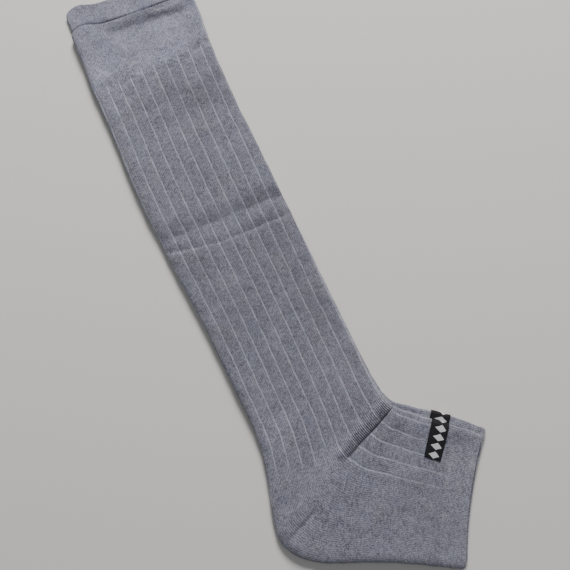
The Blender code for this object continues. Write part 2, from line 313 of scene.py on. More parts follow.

# %% [markdown]
# ## Creases
#
# The panel that faces us carries the relief. Where the socks were folded for their packet there are
# two shallow creases across the calf: the cloth slopes gently down to the line and comes up sharply
# past it, which is why each one shows as a soft dark band with a crisp pale edge. Each crease also
# puts a painted shade into the colour, along its line and down its gentle side. The other rows of the
# table are fainter marks of the same kind. We could push vertices by hand, but a formula of the
# distance across a line works at any density, and a wandering line and an uneven depth come free.

# %% Creases
CREASES = (
    # x1, y1, x2, y2, depth, gentle side (up the leg), rise, sharp side, bend,
    # share of the depth at the start and at the end
    (-14.0, 172.3, 67.0, 167.8, 1.75, 10.5, 0.60, 3.2, 0.4, 0.5, 1.0),
    (-14.0, 164.3, 67.0, 155.3, 0.75, 5.0, 0.90, 1.1, -2.9, 0.8, 0.8),
    (-17.0, 153.5, 2.0, 152.0, 0.45, 7.0, 0.45, 3.5, 0.5, 1.0, 0.5),
    (-14.0, 251.0, 67.0, 249.0, 0.55, 9.0, 0.45, 3.5, 1.5, 0.6, 1.0),
    (51.0, 271.3, 67.0, 275.3, 1.10, 5.5, 1.10, 2.4, 0.4, 0.6, 1.0),
    (-5.0, 275.2, 10.0, 273.8, 0.60, 4.0, 0.60, 2.4, -0.4, 1.0, 1.0),
    (26.0, 271.0, 46.0, 270.5, 0.45, 5.0, 0.45, 2.5, 0.5, 1.0, 0.6),
    (10.0, 219.0, 66.0, 214.0, 0.35, 8.0, 0.35, 4.0, 2.0, 0.4, 1.0),
    (-15.0, 126.0, 44.0, 121.0, 0.35, 8.0, 0.35, 4.0, -1.5, 1.0, 0.4),
    (20.0, 96.0, 68.0, 92.0, 0.30, 8.0, 0.30, 4.0, 1.5, 0.4, 1.0),
    (-12.0, 62.0, 50.0, 58.0, 0.30, 8.0, 0.30, 4.0, 2.0, 1.0, 0.5),
    (16.0, 305.5, 64.0, 299.4, 1.30, 5.5, 1.20, 6.0, -0.8, 0.8, 1.0),
    (20.0, 296.0, 36.0, 300.0, 0.35, 5.0, 0.35, 4.0, 0.4, 1.0, 1.0),
    (30.0, -52.0, 52.0, -46.0, 0.28, 6.0, 0.28, 4.0, 1.0, 0.6, 1.0),
    (58.0, -30.0, 74.0, -58.0, 0.25, 7.0, 0.25, 4.0, 1.5, 1.0, 0.6),
)
LEVEL_FADE = 90.0  # mm over which the cloth below a crease comes level again
FALL_POWER = 1.4
LINE_WANDER = ((0.30, 9.0, 1.0), (0.20, 23.0, 2.1))  # mm, then as in a fold's waver
MEAN_DEPTH = 0.84  # of the row's depth
DEPTH_WOBBLE = ((0.16, 8.3, 1.3), (0.12, 19.0, 1.0))
# The painted shade that a crease puts into the colour: how far it reaches and how dark it is.
SHADE_SLOPE = 0.6  # of the gentle side, over which the shade deepens
SHADE_EDGE = 0.9
SHADE_PER_MM = 0.33
DEEPEST_SHADED = 1.7


def crease(x, y, row, seed):
    """Height and painted shade of one crease.

    Above its line the cloth falls by depth * (1 - across / gentle)^1.4. Below it, the cloth comes up
    again by rise * (1 - exp(-(across / sharp)^2)), and what is left of the drop fades out slowly.
    """
    x1, y1, x2, y2, depth, gentle, rise, sharp, bend, start, stop = row
    part, across, fade = line_frame(x, y, x1, y1, x2, y2)
    across = across - wobble(part, seed, LINE_WANDER) - bend * arch(part)
    uneven = wobble(part, seed, DEPTH_WOBBLE, MEAN_DEPTH)
    share = (start + (stop - start) * np.clip(part, 0, 1)) * uneven * fade
    slope = 1 - across / gentle
    falling = depth * np.clip(slope, 0, 1) ** FALL_POWER
    rising = rise * (1 - bell(across, sharp)) + (depth - rise) * (1 - bell(across, LEVEL_FADE))
    height = np.where(across > 0, -falling, rising - depth)
    shade = np.where(across > 0, np.clip(slope / SHADE_SLOPE, 0, 1), bell(across, SHADE_EDGE))
    return height * share, shade * share * min(depth, DEEPEST_SHADED) * SHADE_PER_MM


print("creases:", len(CREASES), "the deepest, mm:", max(row[4] for row in CREASES))

# %% [markdown]
# ## Rolls and deep lines
#
# At the ankle and the heel the flat tube has to turn a corner, so the leg's cloth rolls over the
# foot's. A roll is a soft bell across its line. Beside it runs a deep line, where one part disappears
# under the other: a narrower bell, pressed in, with a painted shade in the colour that trails off up
# the leg and stops short on the foot. Two of them are enough for the whole turn. The last rolls are
# small bulges of the cuff.

# %% Rolls and deep lines
ROLLS = (
    # x1, y1, x2, y2, height, half width
    (75.0, 24.0, 31.0, 4.8, 1.90, 3.6),
    (78.0, 11.0, 38.0, -7.0, 0.60, 4.5),
    (-24.0, -24.0, 2.0, -13.5, 0.50, 4.6),
    (-22.0, -36.5, 2.0, -27.0, 0.45, 3.6),
    (-4.0, 281.5, 3.0, 281.5, 0.45, 2.6),
    (40.0, 284.5, 49.0, 284.0, 0.50, 3.0),
    (-9.0, 306.0, 2.0, 305.0, 0.45, 4.0),
    (45.0, 304.5, 49.0, 304.0, 0.60, 1.6),
)
DEEP_CREASES = (
    # x1, y1, x2, y2, depth, half width on the leg's side, on the foot's side, share at the far end
    (72.6, 17.2, 36.0, 0.7, 1.4, 1.5, 0.9, 0.6),
    (-2.0, -22.8, -17.5, -29.0, 1.0, 0.7, 0.8, 1.1),
)
ANKLE_LINE = DEEP_CREASES[0][:4]
HEEL_LINE = DEEP_CREASES[1][:4]
MEAN_ROLL = 0.88
ROLL_WOBBLE = ((0.12, 9.0, 1.0),)
DEEP_WANDER = ((0.25, 9.0, 1.0),)
DEEP_PHASE = 1.0
# The painted shade of a deep line: how dark it is, and how far it trails up the leg.
DEEP_SHADE = 0.85
SHADE_TRAIL = 2.2  # of the half width on the leg's side


def roll(x, y, row, seed):
    """A soft bell of cloth across its line, a little uneven along it."""
    x1, y1, x2, y2, height, half_width = row
    part, across, fade = line_frame(x, y, x1, y1, x2, y2)
    return height * wobble(part, seed, ROLL_WOBBLE, MEAN_ROLL) * bell(across, half_width) * fade


def deep_crease(x, y, row):
    """Height and painted shade of a narrow, deep line, where the tube turns and one part rolls on
    another.

    The hollow is a bell with a width for each side. Its painted shade is exp(-across / trail) up the
    leg.
    """
    x1, y1, x2, y2, depth, leg_side, foot_side, far = row
    part, across, fade = line_frame(x, y, x1, y1, x2, y2)
    across = -across - wobble(part, DEEP_PHASE, DEEP_WANDER)
    share = (1 + (far - 1) * np.clip(part, 0, 1)) * fade
    hollow = bell(across, np.where(across > 0, leg_side, foot_side))
    trail = np.exp(-across / (SHADE_TRAIL * leg_side))
    dim = np.where(across > 0, trail, bell(across, foot_side))
    return -depth * hollow * share, DEEP_SHADE * dim * np.minimum(share, 1)


print("rolls:", len(ROLLS), "deep lines:", len(DEEP_CREASES))

# %% [markdown]
# ## Slack
#
# Between its creases knitted cloth is still not flat. It has slack, some of it in waves as long as a
# finger and some in waves no longer than a fingertip. We add up a few plane waves of each kind, whose
# lengths, directions and phases are drawn from a seed, so that every run gives the same cloth.

# %% Slack
SLACK = (
    # seed, shortest wave, longest wave, height, in mm
    (5, 18, 60, 1.0),
    (8, 7, 16, 0.22),
)
SLACK_WAVES = 14
HALF_TURN = 3.14  # radians
FULL_TURN = 6.28


def slack(x, y, seed, shortest, longest, size):
    """Uneven slack: the mean of plane waves, sin(2 pi * distance along its turn / length + phase)."""
    draw = np.random.default_rng(seed)
    total = np.zeros_like(x)
    for _ in range(SLACK_WAVES):
        length = draw.uniform(shortest, longest)
        turn = draw.uniform(0, HALF_TURN)
        phase = draw.uniform(0, FULL_TURN)
        total += np.sin(2 * np.pi * (x * np.cos(turn) + y * np.sin(turn)) / length + phase)
    return size * total / SLACK_WAVES


for row in SLACK:
    waves = slack(*np.meshgrid(np.arange(0.0, 80.0), np.arange(0.0, 300.0)), *row)
    print("slack, mm:", waves.min().round(2), "to", waves.max().round(2))

# %% [markdown]
# ## The whole relief
#
# Heights simply add up: slack, creases, rolls and deep lines. Broad, very soft patches of painted
# shade and painted light make the colour a little darker or paler in places. They are not shape, so
# they go only into the painted shade, which the finish reads.

# %% Relief of the panel on top
# Broad patches of painted shade and painted light in the colour.
PAINTED_LIGHT_AND_SHADE_PATCHES = (
    # x, y, half width across the leg, half width along it, share (painted shade above 0, painted light
    # below it)
    (38.0, 307.0, 17.0, 4.0, 0.75),
    (38.0, 279.0, 24.0, 7.0, -0.58),
    (-5.0, 286.0, 10.0, 11.0, -0.52),
    (-4.0, 262.0, 14.0, 9.0, -0.46),
    (46.0, 245.0, 24.0, 9.0, 0.56),
    (0.0, 148.0, 13.0, 7.0, 0.62),
    (50.0, 141.0, 20.0, 22.0, 0.42),
    (9.0, 115.0, 15.0, 17.0, 0.38),
    (56.0, 96.0, 16.0, 22.0, 0.40),
    (0.0, 36.0, 20.0, 12.0, -0.55),
    (25.0, 3.0, 10.0, 9.0, -0.80),
    (102.0, -17.0, 10.0, 10.0, 0.60),
    (70.0, -71.0, 11.0, 11.0, 0.36),
)
# the palest that painted light can make a point
PALEST = -0.8


def relief(x, y):
    """Height of the top panel over its flat height, in millimetres, and its painted shade.

    The height is the sum of the slack, the creases, the rolls and the deep lines. The painted shade is
    the sum of the creases' and deep lines' painted shade and of the patches, each a bell both ways.
    """
    height = np.zeros_like(x)
    shade = np.zeros_like(x)
    for row in SLACK:
        height = height + slack(x, y, *row)
    for seed, row in enumerate(CREASES):
        drop, dim = crease(x, y, row, seed)
        height, shade = height + drop, shade + dim
    for seed, row in enumerate(ROLLS):
        height = height + roll(x, y, row, seed)
    for row in DEEP_CREASES:
        drop, dim = deep_crease(x, y, row)
        height, shade = height + drop, shade + dim
    for middle_x, middle_y, half_x, half_y, share in PAINTED_LIGHT_AND_SHADE_PATCHES:
        shade = shade + share * bell(x - middle_x, half_x) * bell(y - middle_y, half_y)
    return height, np.clip(shade, PALEST, 1)


heights, shades = relief(*np.meshgrid(np.arange(-10.0, 65.0), np.arange(20.0, 300.0)))
print("relief of the leg, mm:", heights.min().round(2), "to", heights.max().round(2))
print("its shade:", shades.min().round(2), "to", shades.max().round(2))

# %% [markdown]
# ## The roll that leans over
#
# A height alone can't hang over anything. The ankle roll does, a little, so its points are also moved
# sideways, across the deep line and towards the toe. The move is largest on the roll itself and dies
# out along the line, where the roll flattens into the foot.

# %% Lean of the ankle roll
ANKLE_LEAN = 1.9
LEAN_STOPS = 1.15  # of the line's length
LEAN_PLACE = 1.8  # mm up the leg from the line
LEAN_WIDTH = 1.6


def lean(x, y):
    """Sideways moves in x and y: a bell across the ankle line, fading out along it."""
    x1, y1, x2, y2 = ANKLE_LINE
    length = np.hypot(x2 - x1, y2 - y1)
    part, across, fade = line_frame(x, y, x1, y1, x2, y2)
    on_line = np.clip(LEAN_STOPS - part, 0, 1) * fade
    size = ANKLE_LEAN * on_line * bell(across + LEAN_PLACE, LEAN_WIDTH)
    return size * (y1 - y2) / length, -size * (x1 - x2) / length


lean_x, lean_y = lean(np.array(70.0), np.array(18.0))
print("lean at the ankle's front, mm:", lean_x.round(2), lean_y.round(2))

# %% [markdown]
# ## Where the ribs lie
#
# The leg is plain knit with a stitch dropped after every eighth, about 8 mm apart and twenty times
# round. A short table gives the places of some ribs on some sections, because the socks don't lie
# quite straight, and the rest are read off in straight lines. `rib_number` is the same table turned
# round, and we use it for the knit's map.

# %% Places of the ribs
RIBS_ROUND = 20
RIB_NUMBERS = (0, 1, 2, 3, 4, 5, 9)
RIB_PLACES = (
    # name, fraction of the section where each of these ribs lies
    ("cuff_seam", -0.017, 0.083, 0.183, 0.283, 0.383, 0.483, 0.883),
    ("calf_high", -0.017, 0.083, 0.183, 0.283, 0.383, 0.483, 0.883),
    ("shin_low", 0.014, 0.112, 0.211, 0.310, 0.408, 0.507, 0.901),
    ("ankle_start", 0.016, 0.112, 0.218, 0.320, 0.424, 0.524, 0.918),
    ("ankle_top", 0.015, 0.116, 0.222, 0.327, 0.428, 0.521, 0.918),
    ("heel_top", 0.016, 0.112, 0.222, 0.324, 0.424, 0.513, 0.914),
    ("heel_back", 0.015, 0.108, 0.213, 0.314, 0.414, 0.506, 0.903),
    ("ankle", 0.016, 0.110, 0.205, 0.300, 0.393, 0.503, 0.900),
    ("heel_turn", 0.033, 0.113, 0.203, 0.291, 0.381, 0.487, 0.890),
    ("foot_back", 0.040, 0.134, 0.221, 0.308, 0.397, 0.490, 0.890),
    ("foot_middle", 0.040, 0.143, 0.234, 0.321, 0.416, 0.510, 0.900),
    ("foot_front", 0.039, 0.143, 0.242, 0.334, 0.430, 0.525, 0.910),
    ("toe_seam", 0.038, 0.145, 0.250, 0.348, 0.442, 0.540, 0.920),
)


def rib_fraction(where, numbers):
    """The fraction of each section at which these rib numbers lie, in straight lines."""
    places = spread(RIB_PLACES, where)
    known = np.array(RIB_NUMBERS, dtype=float)
    low = np.clip(np.searchsorted(known, numbers, side="right") - 1, 0, len(known) - 2)
    t = (numbers - known[low]) / (known[low + 1] - known[low])
    return places[:, low] * (1 - t) + places[:, low + 1] * t


def rib_number(where, part):
    """The other way round: the rib number of each fraction of each section.

    Each stretch between two known ribs adds its share, and the first and the last run on outwards.
    """
    places = spread(RIB_PLACES, where)
    last = len(RIB_NUMBERS) - 2
    total = np.zeros_like(part)
    for k in range(last + 1):
        step = RIB_NUMBERS[k + 1] - RIB_NUMBERS[k]
        t = (part - places[:, k : k + 1]) / (places[:, k + 1 : k + 2] - places[:, k : k + 1])
        total += step * np.clip(t, None if k == 0 else 0, None if k == last else 1)
    return total


calf_middle = rib_number(CALF, np.array([[0.5]]))
print("rib number in the middle of the calf:", calf_middle.round(2))

# %% [markdown]
# ## Grooves and crowns
#
# Each dropped stitch is a narrow groove between two slightly crowned panels. The grooves run all round
# the leg. Past the ankle only the instep keeps them, growing fainter towards the toe, while the heel
# and the sole are plain. So the relief of the ribs is one formula of the rib number, times a mask.

# %% Relief of the ribs
GROOVE_DEPTH = 0.10
GROOVE_HALF_WIDTH = 0.055  # of the distance between two ribs
CROWN = 0.22
LAST_FOOT_RIB = 4
TOE_RIB_FADE = 0.45
TOE_FADE_SECTIONS = 5
RIB_END_SHARPNESS = 14
RIB_ENDS = (
    # rib number, counted from the front fold, and the section at which its groove ends
    (4.6, 13.45),
    (5, 13.49),
    (6, 13.78),
    (7, 13.48),
    (8, 13.09),
    (9, 12.95),
    (10, 12.9),
)


def rib_mask(where, rib):
    """1 where a dropped stitch runs, 0 on plain knit.

    On the instep it falls in a straight line from the heel to the toe. Elsewhere it is a soft step,
    1 / (1 + exp(sharpness * how far past the rib's end)).
    """
    folded = np.abs((rib + RIBS_ROUND / 2) % RIBS_ROUND - RIBS_ROUND / 2)
    numbers, ends = np.array(RIB_ENDS).T
    heel = 1 / (1 + np.exp(RIB_END_SHARPNESS * (where[:, None] - np.interp(folded, numbers, ends))))
    on_foot = np.clip((where[:, None] - number_of("heel_front")) / TOE_FADE_SECTIONS, 0, 1)
    return np.where(folded < LAST_FOOT_RIB + 0.5, 1 - TOE_RIB_FADE * on_foot, heel)


def rib_relief(rib, mask):
    """A crown between the ribs, a narrow groove at each one: both worked from the rib number."""
    off = np.abs((rib + 0.5) % 1 - 0.5)
    crown = CROWN * (1 - (1 - 2 * off) ** 2)
    groove = GROOVE_DEPTH * bell(off, GROOVE_HALF_WIDTH)
    return mask * (crown - groove - 0.5 * CROWN)


print("height at a rib and between two, mm:", rib_relief(np.array([0.0, 0.5]), 1).round(3))

# %% [markdown]
# ## Columns that crowd at the ribs
#
# A regular grid would need hundreds of columns to catch a groove of one millimetre. Instead the
# columns of the top panel crowd together at each rib and spread out between two of them. The lower
# sock is hardly seen, so it gets four columns a rib in place of fourteen.

# %% Columns of the top panel
FINE_STEPS = (0.035, 0.07, 0.115, 0.18, 0.27, 0.38)  # of the distance between two ribs
COARSE_STEPS = (0.25,)
MARGIN_COLUMNS = 6
TOP_RIBS = np.arange(1, RIBS_ROUND // 2)


def panel_columns(where, width, near, fine):
    """Fractions of the section for the top panel's columns: a margin, the ribs, another margin."""
    steps = FINE_STEPS if fine else COARSE_STEPS
    offsets = np.array([-0.5, *(-step for step in reversed(steps)), 0.0, *steps])
    numbers = (TOP_RIBS[:, None] + offsets[None]).ravel()
    middle = rib_fraction(where, numbers)
    margin = np.linspace(0, 1, MARGIN_COLUMNS + 1)[None]
    start, stop = near / width, 1 - near / width
    front = start + (middle[:, :1] - start) * margin[:, :-1]
    back = middle[:, -1:] + (stop - middle[:, -1:]) * margin[:, 1:]
    return np.concatenate([front, middle, back], axis=1)


for fine in (True, False):
    columns = panel_columns(CALF, widths(CALF, False)[:, None], 1.0, fine)
    print("columns of the top panel:", columns.shape[1], "fine" if fine else "coarse")

# %% [markdown]
# ## Rows down the sock
#
# The stitches are drawn by the finish, so a row every millimetre is enough for the shape of the upper
# sock, and fewer do for the lower one. Three stretches have narrower forms and get closer rows: the
# cuff, the two creases across the calf, and the ankle. Sharing out the length by how close the rows
# should lie does all of it at once.

# %% Evenly spaced rows
ROW_SAMPLES = 1600
UPPER_SPACING = 1.0
LOWER_SPACING = 1.6
DENSE_ROWS = (
    # first and last section of a stretch with narrow forms, and how much closer its rows lie
    (0.0, 1.0, 0.6),
    (6.1, 6.9, 0.5),
    (14.6, 15.6, 0.6),
)


def even_rows(first, last, spacing, lower):
    """Section numbers about one spacing apart along the sock, closer where the forms are narrow.

    The second value is the mean length of a section number in millimetres.
    """
    dense = np.linspace(first, last, ROW_SAMPLES)
    steps = middle_steps(dense, lower)
    closer = np.ones(len(steps))
    for start, stop, share in DENSE_ROWS:
        closer[(dense[1:] > start) & (dense[1:] < stop)] = share
    run = np.concatenate([[0], np.cumsum(steps / closer)])
    count = max(3, int(np.ceil(run[-1] / spacing)) + 1)
    return np.interp(np.linspace(0, run[-1], count), run, dense), steps.sum() / (last - first)


leg_rows, section_length = even_rows(*SEAMS, UPPER_SPACING, False)
print("rows of the upper leg:", len(leg_rows), "a section, mm:", section_length.round(1))

# %% [markdown]
# ## Rows of a closed wall
#
# A knitted tube is one skin outside and one inside, joined round each open end. If the rows of the
# grid run down the outside, over the rim and back up the inside, the whole wall is a single grid that
# closes on itself both ways, like a ring. Then there is no seam, no pole and no loose edge. Each row
# carries a depth: 0 on the outer skin, 1 on the inner one, and the values between them round the rim.

# %% Rows of a closed wall
RIM_STEPS = 5
KNIT_WALL = 0.9
INNER_SPACING = 6  # times the outer rows' spacing, as nobody sees the inside
SEAM_STEP = 0.03  # mm, a last row this close keeps the shading flat right up to a seam


def ring_rows(first, last, lower, spacing, open_start, open_end):
    """The rows of a closed wall as section numbers and depths: outside, rim, inside, rim.

    Round a rim the section number runs on by half a wall * sin(turn), and the depth goes from one
    skin to the other as (1 - cos(turn)) / 2, which together draw a half circle.
    """
    outer, per_number = even_rows(first, last, spacing, lower)
    inner, _ = even_rows(first, last, INNER_SPACING * spacing, lower)
    half = KNIT_WALL / 2 / per_number
    turn = np.linspace(0, np.pi, RIM_STEPS + 2)[1:-1]
    low = first + (half if open_start else 0)
    high = last - (half if open_end else 0)
    outer = low + (outer - first) * (high - low) / (last - first)
    inner = low + (inner - first) * (high - low) / (last - first)
    step = SEAM_STEP / per_number
    outer = np.concatenate([outer[:1], [low + step], outer[1:-1], [high - step], outer[-1:]])
    where, depth = [outer], [np.zeros_like(outer)]
    if open_end:
        where.append(high + half * np.sin(turn))
        depth.append((1 - np.cos(turn)) / 2)
    where.append(inner[::-1])
    depth.append(np.ones_like(inner))
    if open_start:
        where.append(low - half * np.sin(turn))
        depth.append((1 + np.cos(turn)) / 2)
    return np.concatenate(where), np.concatenate(depth)


cuff_rows, cuff_depths = ring_rows(0.0, number_of("cuff_seam"), False, UPPER_SPACING, True, False)
print("rows of the upper cuff:", len(cuff_rows), "on its inside:", int((cuff_depths == 1).sum()))

# %% [markdown]
# ## Ribs counted right round
#
# The table of ribs knows only the top panel, but the knitting goes on round the back fold, underneath
# and up round the front one. We measure how far round the tube each column lies, and share the ribs
# that are left evenly over the way back, so that the count comes out at twenty where the ring closes.

# %% Ribs right round
FOLD_COLUMNS = 10
UNDER_COLUMNS = 14
FOLD_STEPS = np.linspace(0, 1, FOLD_COLUMNS)[None]
UNDER_STEPS = np.linspace(0, 1, UNDER_COLUMNS + 2)[None, 1:-1]


def knit_path(width, radius, part):
    """How far round the tube each column lies, in mm: panel, back fold, underside, front fold."""
    fold = 2 * radius * FOLD_STEPS
    back = width - radius + fold[:, 1:]
    under = width + radius + (width - 2 * radius) * UNDER_STEPS
    front = 2 * width - radius + fold[:, :-1]
    return np.concatenate([part * width, back, under, front], axis=1)


def ribs_round(where, path, width):
    """The rib number of each column: read off the table on top, and evenly spread underneath."""
    top = rib_number(where, path / width)
    ends = rib_number(where, np.broadcast_to([0.0, 1.0], (len(where), 2)))
    front, back = ends[:, :1] + RIBS_ROUND, ends[:, 1:]
    return np.where(path > width, back + (front - back) * (path / width - 1), top)


once_round = ribs_round(CALF, np.array([[0.0, 2.0]]) * widths(CALF, False), widths(CALF, False))
print("ribs once round the calf:", np.diff(once_round).round(3))

# %% [markdown]
# ## One skin of the tube
#
# Going round a section, a skin has four stretches: the top panel, the back fold, the underside and
# the front fold. The panels are straight and the folds are half circles. For the outer skin the
# circle's radius is half of the sock's thickness, and for the inner one it is half of the slit that is
# left in a pressed tube.

# %% Skins
SLIT = 0.4
CUFF_WALLS = (1.4, 1.1)  # mm, over and under the slit
LEG_WALLS = (1.3, 1.0)
BAND_WALLS = (1.4, 1.0)
LOWER_WALLS = (1.0, 1.0)
FOLD_TURNS = np.linspace(-np.pi / 2, np.pi / 2, FOLD_COLUMNS)[None]  # from underneath to the top
Skin = namedtuple("Skin", "x y distance width level rib thickness")


def skin(where, lower, walls, inset, fine, inner):
    """Points and rib numbers of one skin: top panel, back fold, underside, front fold.

    Between near and far the distance from the front fold runs straight. Round a fold it goes on by
    radius * cos(turn), while the level is (1 + sin(turn)) / 2: 1 on top and 0 underneath.
    """
    thickness = walls[0] + SLIT + walls[1]
    width = widths(where, lower)[:, None]
    radius = SLIT / 2 if inner else thickness / 2
    near = inset + radius
    far = width - near
    part = panel_columns(where, width, thickness / 2, fine)
    stretch = (part - part[:, :1]) / (part[:, -1:] - part[:, :1])
    top = near + (far - near) * stretch
    back = far + radius * np.cos(FOLD_TURNS[:, -2::-1])
    under = far + (near - far) * UNDER_STEPS
    front = near - radius * np.cos(FOLD_TURNS[:, :-1]) + 0 * width
    distance = np.concatenate([top, back, under, front], axis=1)
    turned = (1 + np.sin(FOLD_TURNS[0])) / 2
    flat = np.ones(part.shape[1])
    level = np.concatenate([flat, turned[-2::-1], np.zeros(UNDER_COLUMNS), turned[:-1]])
    rib = ribs_round(where, knit_path(width, thickness / 2, part), width)
    x, y = plan(where, distance, lower)
    return Skin(x, y, distance, width, level[None], rib, thickness)


calf_skin = skin(CALF, False, LEG_WALLS, 0.0, True, False)
print("points round the calf:", calf_skin.rib.size, "thickness, mm:", calf_skin.thickness)

# %% [markdown]
# ## Where the upper sock sags
#
# The upper sock's back fold reaches past the lower one in places, and nothing holds it up there. We
# measure how far it does from the table of shifts, and let the cloth sag by a share of that, most of
# all at the fold itself. It follows the outline by itself, however the table is changed.

# %% Droop
DROOP_SHARE = 0.4  # of the overhang
DROOP_MOST = 1.25
DROOP_REACH = 3.2


def overhang(where):
    """How far the upper sock's back fold reaches past the lower one's, at each section."""
    front, back, _, _ = sections(where, False)
    shift = spread(LOWER_SHIFT, where)[:, 2:4]
    along = (back - front) / np.linalg.norm(back - front, axis=1)[:, None]
    return np.maximum(0, -(shift * along).sum(axis=1))


def droop(where, distance, width):
    """How far the upper sock sags: a share of the overhang, times the square of how near its fold."""
    past = overhang(where)[:, None]
    size = np.minimum(DROOP_SHARE * past, DROOP_MOST)
    return size * np.clip(1 - (width - distance) / (past + DROOP_REACH), 0, 1) ** 2


print("largest overhang, mm:", overhang(np.linspace(0, number_of("toe_edge"), 200)).max().round(2))

# %% [markdown]
# ## Where the lower sock puffs up
#
# The upper sock presses the lower one flat, but past its two ends the lower sock's cloth is free, and
# it stands up again by a millimetre or two. So we need to know where the upper sock ends: its first
# and last sections, with their bow and hump, give a line to measure from. A soft step lifts the cloth
# past it, and two slow waves keep the lifted cuff from looking inflated.

# %% Puff
CUFF_PUFF, CUFF_RISE, CUFF_GAP = 1.445, 1.6, 0.2
TOE_PUFF, TOE_RISE, TOE_GAP = 1.1, 0.8, 0.1
PUFF_WAVES = (
    # height in mm, turn for each mm of x, turn for each mm of y
    (0.255, 1 / 7.0, 0.0),
    (0.25, 1 / 4.1, 1 / 9.0),
)


def upper_edge(x):
    """Where the upper sock's open end lies across the lower one: y for each x, in millimetres."""
    _, front_x, front_y, back_x, back_y, bow, hump = SECTIONS[0]
    part = (front_x - x) / (front_x - back_x)
    line = front_y + (back_y - front_y) * part - bow * arch(part)
    return line - hump * bell(part - HUMP_PLACE, HUMP_WIDTH)


def beyond_toe(x, y):
    """How far a point lies past the upper sock's toe edge, in millimetres."""
    _, front_x, front_y, back_x, back_y, bow, _ = SECTIONS[-1]
    _, across, _ = line_frame(x, y, back_x, back_y, front_x, front_y)
    part = np.hypot(x - front_x, y - front_y) / np.hypot(front_x - back_x, front_y - back_y)
    return -across - bow * arch(part)


def soft_step(value):
    """0 below 0, 1 above 1, and 3 v^2 - 2 v^3 between them."""
    part = np.clip(value, 0, 1)
    return part * part * (3 - 2 * part)


def puff(x, y):
    """The lower sock's rise past the upper one's cuff, a little uneven, and past its toe edge."""
    cuff = soft_step((y - upper_edge(x) - CUFF_GAP) / CUFF_RISE)
    toe = soft_step((beyond_toe(x, y) - TOE_GAP) / TOE_RISE)
    return cuff * wobble(x, y, PUFF_WAVES, CUFF_PUFF) + TOE_PUFF * toe


print("puff beside the upper cuff, mm:", puff(np.array([0.0, 30.0, 60.0]), 320.0).round(2))

# %% [markdown]
# ## Seams
#
# The cuff, the leg and the toe band are knitted on to each other, so two pieces have to meet at one
# height. The welts are a little thicker than the leg, and that thickness fades in over a few
# millimetres. The ribs, in turn, only start a little way from a seam.

# %% Heights near the seams
LEG_HEIGHT = sum(LEG_WALLS) + SLIT
CUFF_EXTRA = 0.2
BAND_EXTRA = 0.1
SEAM_BLEND = 4.0
RIB_START = 2.0


def seam_fade(where):
    """0 at the seams, 1 a little way off, so that two pieces always meet at the same height."""
    run, _ = end_distance(where, False)
    seams, _ = end_distance(SEAMS, False)
    away = np.abs(run[:, None] - seams[None]).min(axis=1)
    return np.clip(away / RIB_START, 0, 1)[:, None]


def flat_height(where):
    """The upper sock's thickness: the leg's, and more by a straight ramp past each seam."""
    run, _ = end_distance(where, False)
    (cuff_seam, toe_seam), _ = end_distance(SEAMS, False)
    cuff = np.clip((cuff_seam - run) / SEAM_BLEND, 0, 1)
    band = np.clip((run - toe_seam) / SEAM_BLEND, 0, 1)
    return (LEG_HEIGHT + CUFF_EXTRA * cuff + BAND_EXTRA * band)[:, None]


print("thickness at the cuff, mm:", flat_height(SEAMS - 1)[0], "at the calf:", flat_height(CALF)[0])

# %% [markdown]
# ## The wall of a sock
#
# Now the two skins become one wall. The outer skin gets its height: the sock's thickness, a little
# loft, the relief and the ribs, all scaled by the level, so that the top panel has all of it and the
# underside has none and rests flat. The rows' depths then blend the outer skin into the inner one.

# %% The wall as a grid
LOWER_HEIGHT = sum(LOWER_WALLS) + SLIT
LAYER_GAP = 0.3
UPPER_BASE = LOWER_HEIGHT + LAYER_GAP
LOFT = 0.95  # how far the slack upper panel stands off its flat height
SHOULDER_POWER = 22  # how late the loft falls off towards a fold
PUFF_AT_FOLD = 0.35
RELIEF_AT_FOLD = 0.25
LOWEST = -0.8  # the relief stops here, over the slit


def shoulder_of(part):
    """1 over most of the panel, 0 at its folds: 1 - |2 * part - 1|^22."""
    return 1 - np.abs(2 * np.clip(part, 0, 1) - 1) ** SHOULDER_POWER


def top_rise(outer, ribs, lower):
    """How far the top panel stands off its flat height, in mm, and its painted shade.

    The lower sock has its puff, times a share that is smaller at the folds, and its grooves. The
    upper one has loft * shoulder, its relief, times such a share too, and its ribs.
    """
    shoulder = shoulder_of(outer.distance / outer.width)
    if lower:
        rise = puff(outer.x, outer.y) * (PUFF_AT_FOLD + (1 - PUFF_AT_FOLD) * shoulder)
        return np.minimum(ribs, 0) + rise, np.zeros_like(ribs)
    folds, shade = relief(outer.x, outer.y)
    rise = LOFT * shoulder + folds * (RELIEF_AT_FOLD + (1 - RELIEF_AT_FOLD) * shoulder) + ribs
    return rise, shade


def sock_wall(where, depth, lower, walls, ribbed, fine):
    """The wall as a grid of points, with the rib number, rib mask and painted shade of each point.

    Outer height = base + level * (flat height + rise) - sag. The inner skin keeps to the flat slit,
    so a fold is thicker than the cloth beside it. A point = outer + (inner - outer) * depth.
    """
    outer = skin(where, lower, walls, 0.0, fine, False)
    inner = skin(where, lower, walls, KNIT_WALL, fine, True)
    mask = rib_mask(where, outer.rib) if ribbed else np.zeros_like(outer.rib)
    ribs = rib_relief(outer.rib, mask * seam_fade(where))
    rise, shade = top_rise(outer, ribs, lower)
    thickness = outer.thickness if lower else flat_height(where)
    x, y = outer.x, outer.y
    z = outer.level * (thickness + np.maximum(rise, LOWEST))
    z_inner = walls[1] + inner.level * SLIT
    if not lower:
        z = UPPER_BASE + z - droop(where, outer.distance, outer.width)
        z_inner = UPPER_BASE + z_inner - droop(where, inner.distance, inner.width)
        dx, dy = lean(x, y)
        x, y = x + dx * outer.level, y + dy * outer.level
    share = depth[:, None]
    pairs = ((x, inner.x), (y, inner.y), (z, z_inner))
    points = np.stack([out + (within - out) * share for out, within in pairs], axis=2)
    return points, outer.rib, mask, shade * outer.level * (1 - share)


